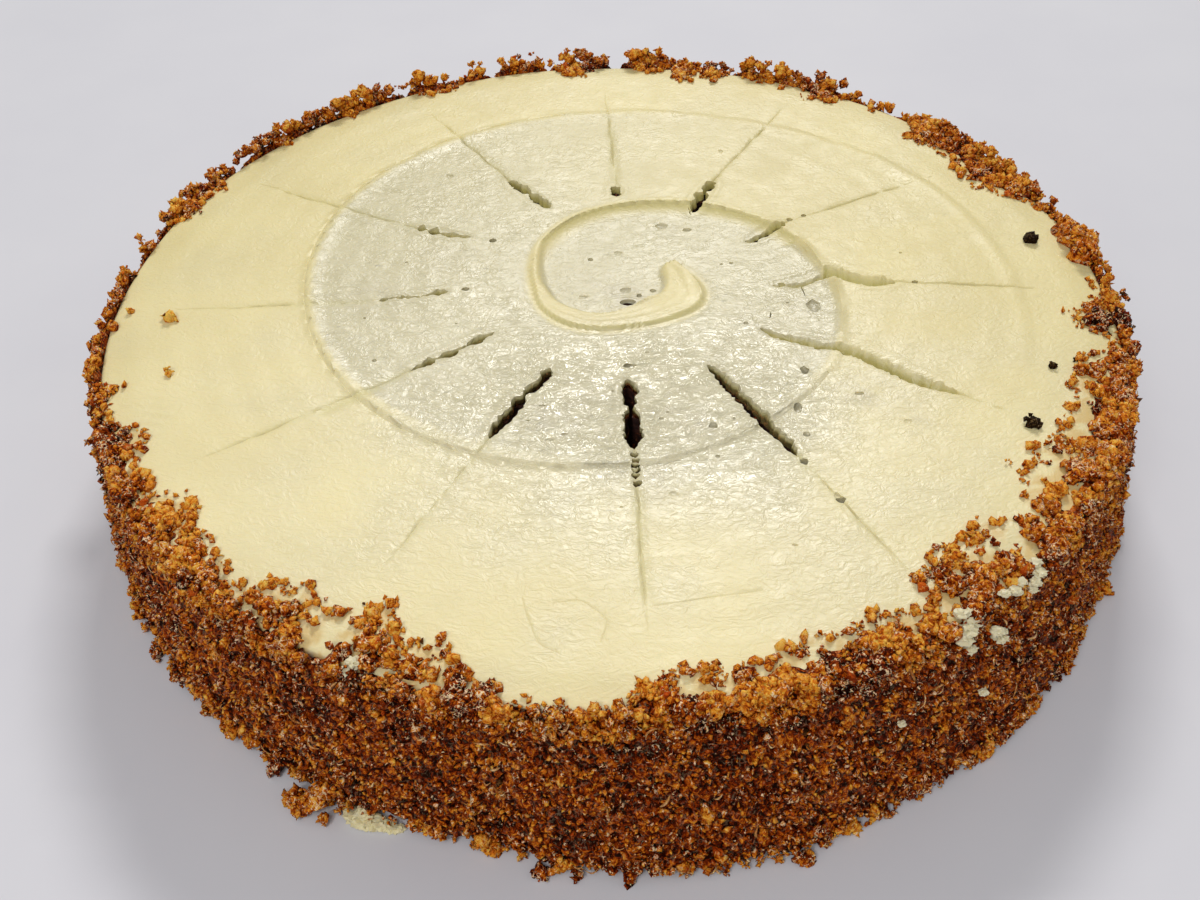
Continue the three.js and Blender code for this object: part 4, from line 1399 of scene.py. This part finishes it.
def toe_grains(random):
    """Crumbs piled unevenly where the coat meets the table."""
    degrees = random.uniform(0, 360, TOE_CLUMPS)
    sizes = 0.9 + 1.3 * random.random(TOE_CLUMPS) ** 2
    share = random.random(TOE_CLUMPS)
    bulge = along_rim(FOOT, degrees) * (1 - 0.5 * share)
    out = 130.6 + bulge + 0.7 * random.random(TOE_CLUMPS) * sizes
    middles = polar(out * out_of_round(np.radians(degrees)), np.radians(degrees), 0.7 + 3.2 * share)
    keep = bareness(degrees, middles[:, 2]) < 0.4
    outward = to_space(degrees, np.tile([0.9, 0.45], (TOE_CLUMPS, 1)))
    toasts = toasting(random, 0.54, 0.05, middles, 0.46)
    return clump_grains(random, middles[keep], outward[keep], sizes[keep], toasts[keep])


def placed_grains(random):
    """The clumps and stray crumbs that stand out one by one."""
    rows = []
    for angle, radius, height, size in CLUMPS:
        middle, outward = (to_space(np.array([angle]), np.array([rz]))
                           for rz in ((radius, height), (0.7, 0.7)))
        rows.append(clump_grains(random, middle, outward, np.array([size]), np.array([0.52])))
    up = np.array([[0.0, 0.0, 1.0]])
    for x, y, radius, toast_and_shading in STRAY_CRUMBS:
        middle = np.array([[x, y, icing_height([x], [y])[0] + 0.25 * radius]])
        clump = clump_grains(random, middle, up, np.array([radius]), np.array([toast_and_shading]))
        clump[:, 4] = BURNT_TOAST if toast_and_shading > 0.9 else clump[:, 4]
        rows.append(clump)
    return np.concatenate(rows)


def make_shreds(material):
    """Pale curved shreds that lie among the crumbs of the wall."""
    random = np.random.default_rng(313)
    degrees = random.uniform(0, 360, SHREDS)
    rz, outward = on_coat(degrees, random.uniform(0.3, 2.7, SHREDS))
    at = to_space(degrees, rz)
    at = to_space(degrees, rz + outward * (RELIEF * crumb_relief(at) - SHREDS_SUNK)[:, None])
    out = to_space(degrees, outward)
    around = np.radians(degrees)
    tangent = np.column_stack([-np.sin(around), np.cos(around), 0 * around])
    across = np.cross(out, tangent)
    turn = random.normal(size=SHREDS)[:, None] * 0.8
    along = tangent * np.cos(turn) + across * np.sin(turn)
    side = np.cross(out, along)
    length = (1.4 + 2.6 * random.random(SHREDS) ** 2)[:, None]
    bow = random.normal(size=(SHREDS, 1)) * 0.4
    broad = random.uniform(0.15, 0.38, (SHREDS, 1))
    rows = []
    for t in np.linspace(-1, 1, SHRED_ROWS):
        middle = at + along * length * 0.5 * t + side * bow * (1 - t * t) + out * (0.35 - 0.55 * t * t)
        thick = broad * math.sqrt(max(0.12, 1 - t * t))
        rows.append([middle + side * thick, middle + out * thick * 0.8, middle - side * thick])
    points = np.array(rows).transpose(2, 0, 1, 3).reshape(-1, 3)
    quads, each = ring_quads(SHRED_ROWS, 3), 3 * SHRED_ROWS
    ends = [[0, 2, 1], [each - 3, each - 2, each - 1]]
    one = np.concatenate([quads[:, [0, 1, 2]], quads[:, [0, 2, 3]], ends])
    faces = (one[None] + each * np.arange(SHREDS)[:, None, None]).reshape(-1, 3)
    piece = new_object("pale_shreds", points, [faces])
    keep_value(piece, "toast_and_shading", np.repeat(random.uniform(0.1, 0.9, SHREDS), each))
    keep_value(piece, "painted_glint_weight", np.full(each * SHREDS, 0.6))
    piece.data.materials.append(material)
    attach(piece, "root")


def make_crumbs():
    """Sorts all the grains by kind and makes one mesh for each."""
    random = np.random.default_rng(4711)
    groups = (wall_shards, wall_clumps, rim_grains, top_grains, fringe_grains, toe_grains, placed_grains)
    grains = np.concatenate([group(random) for group in groups])
    toast_and_shading = grains[:, 4]
    pick = random.random(len(grains))
    burnt = (toast_and_shading >= BURNT_TOAST) | (pick < BURNT_SHARE) & (grains[:, 3] < 0.9)
    carrot = ~burnt & (pick > 1 - CARROT_SHARE)
    kind = np.where(burnt, 0, np.where(carrot, 1, 2 + np.digitize(toast_and_shading, TOAST_LIMITS, right=True)))
    for number, (name, tones, *glints) in enumerate(KINDS):
        material = crumb_material(name + "_crumbs", tones, *glints)
        make_grains("crumbs_" + name, grains[kind == number], material, 50 + number)
    make_shreds(crumb_material("pale_shreds", PALE, 0.2))


# ---- materials --------------------------------------------------------------


def srgb(red, green, blue):
    """A colour given as it looks on a screen, from 0 to 255."""
    def linear(value):
        value /= 255
        return value / 12.92 if value <= 0.04045 else ((value + 0.055) / 1.055) ** 2.4
    return (linear(red), linear(green), linear(blue), 1.0)


class Nodes:
    """Short calls to build one material's node tree."""

    def __init__(self, name):
        self.material = bpy.data.materials.new(name)
        self.material.use_nodes = True
        self.tree = self.material.node_tree
        self.shader = self.tree.nodes["Principled BSDF"]
        self.place = self.node("TexCoord").outputs["Object"]

    def feed(self, source, socket):
        """Links a node's output to a socket, or sets the socket to a plain value."""
        if isinstance(source, bpy.types.NodeSocket):
            self.tree.links.new(source, socket)
        else:
            socket.default_value = source

    def node(self, kind, **inputs):
        node = self.tree.nodes.new("ShaderNode" + kind)
        for name, source in inputs.items():
            self.feed(source, node.inputs[name])
        return node

    def value(self, name):
        node = self.node("Attribute")
        node.attribute_name = name
        return node.outputs["Fac"]

    def noise(self, size, detail=3.0, rough=0.55, distortion=0.0, shrink=(1.0, 1.0, 1.0)):
        place = self.node("Mapping", Scale=shrink, Vector=self.place).outputs["Vector"]
        return self.node("TexNoise", Distortion=distortion, Scale=1 / (size * MM), Detail=detail,
                         Roughness=rough, Vector=place).outputs["Fac"]

    def voronoi(self, size):
        return self.node("TexVoronoi", Scale=1 / (size * MM), Vector=self.place).outputs["Distance"]

    def ramp(self, source, *stops):
        node = self.node("ValToRGB", Fac=source)
        elements = node.color_ramp.elements
        while len(elements) < len(stops):
            elements.new(0.5)
        for element, (position, colour) in zip(elements, stops):
            element.position = position
            element.color = colour if isinstance(colour, tuple) else (colour, colour, colour, 1)
        return node.outputs["Color"]

    def mask(self, source, low, high, most=1.0):
        """Rises from 0 to most while the source goes from low to high."""
        return self.ramp(source, (low, 0.0), (high, most))

    def mix(self, factor, a, b, blend="MIX"):
        node = self.node("Mix")
        node.data_type = "RGBA"
        node.blend_type = blend
        for index, source in ((0, factor), (6, a), (7, b)):
            self.feed(source, node.inputs[index])
        return node.outputs[2]

    def math(self, operation, a, b, clamp=True):
        node = self.node("Math")
        node.operation = operation
        node.use_clamp = clamp
        self.feed(a, node.inputs[0])
        self.feed(b, node.inputs[1])
        return node.outputs[0]

    def times(self, a, b, clamp=True):
        return self.math("MULTIPLY", a, b, clamp)

    def bump(self, height, distance, strength=1.0, **before):
        return self.node("Bump", Distance=distance * MM, Strength=strength, Height=height,
                         **before).outputs["Normal"]

    def set(self, **inputs):
        for name, source in inputs.items():
            self.feed(source, self.shader.inputs[name.replace("_", " ")])


# Painted shade: how much darker and yellower the icing is made towards the back and the right, where
# less light falls.
BACK_SHADE = (0.9, 0.885, 0.79, 1)


def icing_material():
    n = Nodes("cream_cheese_icing")
    wet, pressed_and_sheen = n.value("wet"), n.value("pressed")
    ivory = n.ramp(n.noise(34, 2.0), (0.32, srgb(225, 212, 162)), (0.7, srgb(233, 221, 172)))
    paler = n.ramp(n.noise(5, 4.0), (0.35, srgb(201, 195, 169)), (0.65, srgb(212, 206, 181)))
    # Pressed zone in a greyer, bluer tone, which also stands for painted sheen on the glossy area.
    surface = n.mix(n.times(pressed_and_sheen, 0.8), ivory, paler)
    surface = n.mix(n.times(n.value("thin"), 0.6), surface, srgb(192, 184, 162))
    # Painted shade of fine wrinkles: dark strokes in the pressed zone.
    wrinkle_shade = n.mask(n.noise(1.5, 3.0, 0.6, 0.6, (0.7, 1.5, 1.0)), 0.62, 0.72)
    wrinkle_shade = n.times(wrinkle_shade, n.times(pressed_and_sheen, n.mask(n.noise(7, 2.0), 0.45, 0.62, 0.7)))
    surface = n.mix(wrinkle_shade, surface, srgb(168, 163, 144))
    # Painted shade on slopes facing away from the light and in the scored troughs, with the deeper
    # yellow of thick icing.
    surface = n.mix(n.times(n.value("fold_shade"), 0.6), surface, srgb(204, 195, 132))
    # Painted shade in the pits.
    surface = n.mix(n.value("pit_shade"), surface, srgb(160, 154, 130))
    # Painted shade towards the back and the right.
    surface = n.mix(n.value("back_shade"), surface, BACK_SHADE, "MULTIPLY")
    surface = n.mix(n.value("smear"), surface, srgb(196, 150, 44))
    # Painted shade down the slots' walls: darker and more olive with depth.
    deep = n.mix(n.value("sunk"), surface, srgb(196, 186, 118))
    # Brown crumb stains in some slots, and painted shade deep down in the slots near the middle.
    crumbs = n.ramp(n.noise(1.3, 4.0, 0.7),
                    (0.40, srgb(24, 8, 3)), (0.54, srgb(66, 28, 11)), (0.66, srgb(180, 110, 62)))
    n.set(Base_Color=n.mix(n.value("stain"), deep, crumbs))
    n.set(Roughness=n.mix(wet, n.ramp(n.noise(5, 4.0), (0.3, 0.42), (0.75, 0.56)),
                          n.ramp(n.noise(4, 4.0), (0.3, 0.11), (0.75, 0.22))))
    strokes = n.noise(2.6, 2.5, 0.55, 2.2, (0.7, 1.0, 1.0))
    patches = n.times(n.noise(16, 2.0), 0.55)
    spread = n.math("ADD", n.times(n.math("POWER", wet, 1.6), patches), 0.08)
    fine = n.bump(n.noise(0.9, 2.0), 0.06, 0.8)
    n.set(Normal=n.bump(n.times(strokes, spread, False), 2.2, 1.0, Normal=fine))
    n.set(Subsurface_Weight=0.3, Subsurface_Radius=(0.9, 0.75, 0.45), Subsurface_Scale=1.0 * MM)
    n.set(IOR=1.45)
    return n.material


TOASTED = ((0.0, srgb(250, 196, 90)), (0.2, srgb(240, 162, 50)), (0.42, srgb(208, 110, 22)),
           (0.64, srgb(144, 50, 2)), (0.82, srgb(84, 18, 0)), (1.0, srgb(26, 3, 0)))
BURNT = ((0.0, srgb(120, 72, 30)), (0.5, srgb(70, 38, 14)), (0.9, srgb(30, 15, 5)))
CARROT = ((0.0, srgb(222, 116, 34)), (0.5, srgb(182, 70, 12)), (0.9, srgb(100, 30, 4)))
PALE = ((0.0, srgb(250, 212, 160)), (0.5, srgb(214, 150, 88)), (1.0, srgb(150, 84, 34)))
# Colours of the painted highlights on the crumbs.
GLINT = srgb(250, 204, 128)
PALE_GLINT = srgb(255, 220, 176)


# The kinds of crumb: tones, how strongly highlights are painted on them and, where it isn't the usual
# one, in what colour. The last four are the plain kinds, by toasting, with limits between.
KINDS = [
    ("burnt", BURNT, 0.15),
    ("carrot", CARROT, 0.5),
    ("golden", TOASTED, 0.25),
    ("amber", TOASTED, 0.6),
    ("brown", TOASTED, 1.2, PALE_GLINT),
    ("umber", TOASTED, 1.2, PALE_GLINT),
]

TOAST_LIMITS = (0.38, 0.5, 0.64)


def crumb_material(name, tones, glints, glint_tone=GLINT):
    """Toasted crumb: tones run from little to much toasted, and highlights are painted on as pale specks
    and lines.
    """
    n = Nodes(name)
    pores = n.noise(1.4, 4.0, 0.72, 1.2)
    toast_and_shading = n.math("SUBTRACT", n.value("toast_and_shading"), n.times(pores, 2.6, False), False)
    tone = n.ramp(n.math("ADD", toast_and_shading, 1.32), *tones)
    # Painted highlights: thin pale lines and specks on the sides of the crumbs that face out.
    edges = n.ramp(n.noise(1.5, 1.5), (0.465, 0.0), (0.487, 1.0), (0.513, 1.0), (0.535, 0.0))
    edges = n.times(edges, n.mask(n.noise(2.4, 1.0), 0.48, 0.55))
    highlight_specks = n.mask(n.noise(0.8, 2.0, 0.6), 0.61, 0.65)
    painted_lighting = n.math("MAXIMUM", highlight_specks, edges)
    glint = n.times(painted_lighting, n.times(n.value("painted_glint_weight"), glints))
    n.set(Base_Color=n.mix(glint, tone, glint_tone))
    n.set(Roughness=n.ramp(painted_lighting, (0.0, 0.6), (1.0, 0.25)))
    n.set(Normal=n.bump(pores, 0.8, 1.0))
    n.set(Subsurface_Weight=0.15, Subsurface_Radius=(1.0, 0.34, 0.06), Subsurface_Scale=1.0 * MM)
    n.set(Specular_IOR_Level=0.12, Specular_Tint=srgb(255, 214, 170))
    return n.material


def sponge_material():
    n = Nodes("carrot_sponge")
    tone = n.ramp(n.noise(2.2, 4.0, 0.6),
                  (0.3, srgb(74, 36, 18)), (0.5, srgb(120, 62, 28)), (0.72, srgb(156, 92, 44)))
    # Painted shade: the darker tones used wherever the sponge shows in the slots.
    painted_lighting = n.ramp(n.noise(1.8, 3.0, 0.6),
                   (0.4, srgb(38, 12, 5)), (0.6, srgb(66, 26, 10)), (0.72, srgb(176, 112, 70)))
    tone = n.mix(n.value("painted_lighting"), tone, painted_lighting)
    n.set(Base_Color=n.mix(n.mask(n.noise(3.4, 2.0), 0.66, 0.72), tone, srgb(204, 98, 28)))
    n.set(Roughness=0.8)
    pores = n.bump(n.voronoi(1.4), 0.5, 0.8)
    n.set(Normal=n.bump(n.noise(0.7, 3.0), 0.25, 0.7, Normal=pores))
    return n.material


def floor_material():
    n = Nodes("pale_table")
    n.set(Base_Color=n.ramp(n.noise(60, 3.0), (0.3, srgb(206, 206, 213)), (0.7, srgb(210, 210, 216))))
    n.set(Roughness=0.7)
    n.set(Normal=n.bump(n.noise(0.9, 2.0), 0.02, 0.4))
    return n.material


# ---- stage, lights and camera -----------------------------------------------

FLOOR_HALF = 2.5 / MM


def make_floor():
    corners = FLOOR_HALF * np.array([[-1, -1, 0], [1, -1, 0], [1, 1, 0], [-1, 1, 0]])
    floor = new_object("table_top", corners, [np.array([[0, 1, 2, 3]])])
    floor.data.materials.append(floor_material())


def area_light(name, place, target, size, power, colour):
    light = bpy.data.lights.new(name, "AREA")
    light.shape = "RECTANGLE"
    light.size, light.size_y = size
    light.energy = power
    light.color = colour
    lamp = bpy.data.objects.new(name, light)
    lamp.location = place
    lamp.rotation_euler = (Vector(target) - Vector(place)).to_track_quat("-Z", "Y").to_euler()
    bpy.context.scene.collection.objects.link(lamp)


# Name, place, target, size in metres, power in watts and colour of each light.
LIGHTS = [
    ("window_behind", (0.2, 2.6, 2.32), (0, 0, 0.04), (1.0, 0.48), 66, (1.0, 0.985, 0.95)),
    ("ceiling", (-0.25, -0.85, 1.1), (0, 0, 0.02), (0.65, 0.65), 6.3, (1.0, 0.99, 0.97)),
    ("lamp", (-0.5, -1.2, 1.4), (0, 0, 0.02), (0.1, 0.1), 3.6, (1.0, 0.95, 0.88)),
]

ROOM_COLOUR = (0.99, 0.99, 1.0, 1)
ROOM_STRENGTH = 0.36


def make_lights():
    for light in LIGHTS:
        area_light(*light)
    world = bpy.data.worlds.new("room")
    world.use_nodes = True
    background = world.node_tree.nodes["Background"]
    background.inputs["Color"].default_value = ROOM_COLOUR
    background.inputs["Strength"].default_value = ROOM_STRENGTH
    bpy.context.scene.world = world
    bpy.context.scene.view_settings.view_transform = "Standard"


# Fitted to the photo's rim circles and slots: distance in metres, angle down to the
# base centre in degrees, lens in millimetres, yaw and pitch in radians, roll in degrees.
CAMERA_DISTANCE = 0.38082
CAMERA_ELEVATION = 42.245
CAMERA_LENS = 41.61
CAMERA_YAW = -0.0081
CAMERA_PITCH = -0.0164
CAMERA_ROLL = 1.2073


def make_camera():
    """Looks down at the cake's base centre, then turned a little to the photo's framing."""
    elevation = math.radians(CAMERA_ELEVATION)
    data = bpy.data.cameras.new("camera")
    data.lens = CAMERA_LENS
    data.sensor_width = 36.0
    data.clip_start = 0.01
    camera = bpy.data.objects.new("camera", data)
    aim = Matrix.Rotation(math.pi / 2 - elevation, 4, "X")
    aim = aim @ Matrix.Rotation(-CAMERA_YAW, 4, "Y") @ Matrix.Rotation(CAMERA_PITCH, 4, "X")
    aim = aim @ Matrix.Rotation(-math.radians(CAMERA_ROLL), 4, "Z")
    place = Vector((0, -CAMERA_DISTANCE * math.cos(elevation), CAMERA_DISTANCE * math.sin(elevation)))
    camera.matrix_world = Matrix.Translation(place) @ aim
    bpy.context.scene.collection.objects.link(camera)
    bpy.context.scene.camera = camera


# ---- the scene --------------------------------------------------------------

make_camera()
make_floor()
make_lights()
icing = icing_material()
make_icing(icing)
make_squeezed_icing(icing)
make_sponge(sponge_material())
make_coat_bed(crumb_material("pressed_crumbs", TOASTED, 0.5, PALE_GLINT))
make_crumbs()
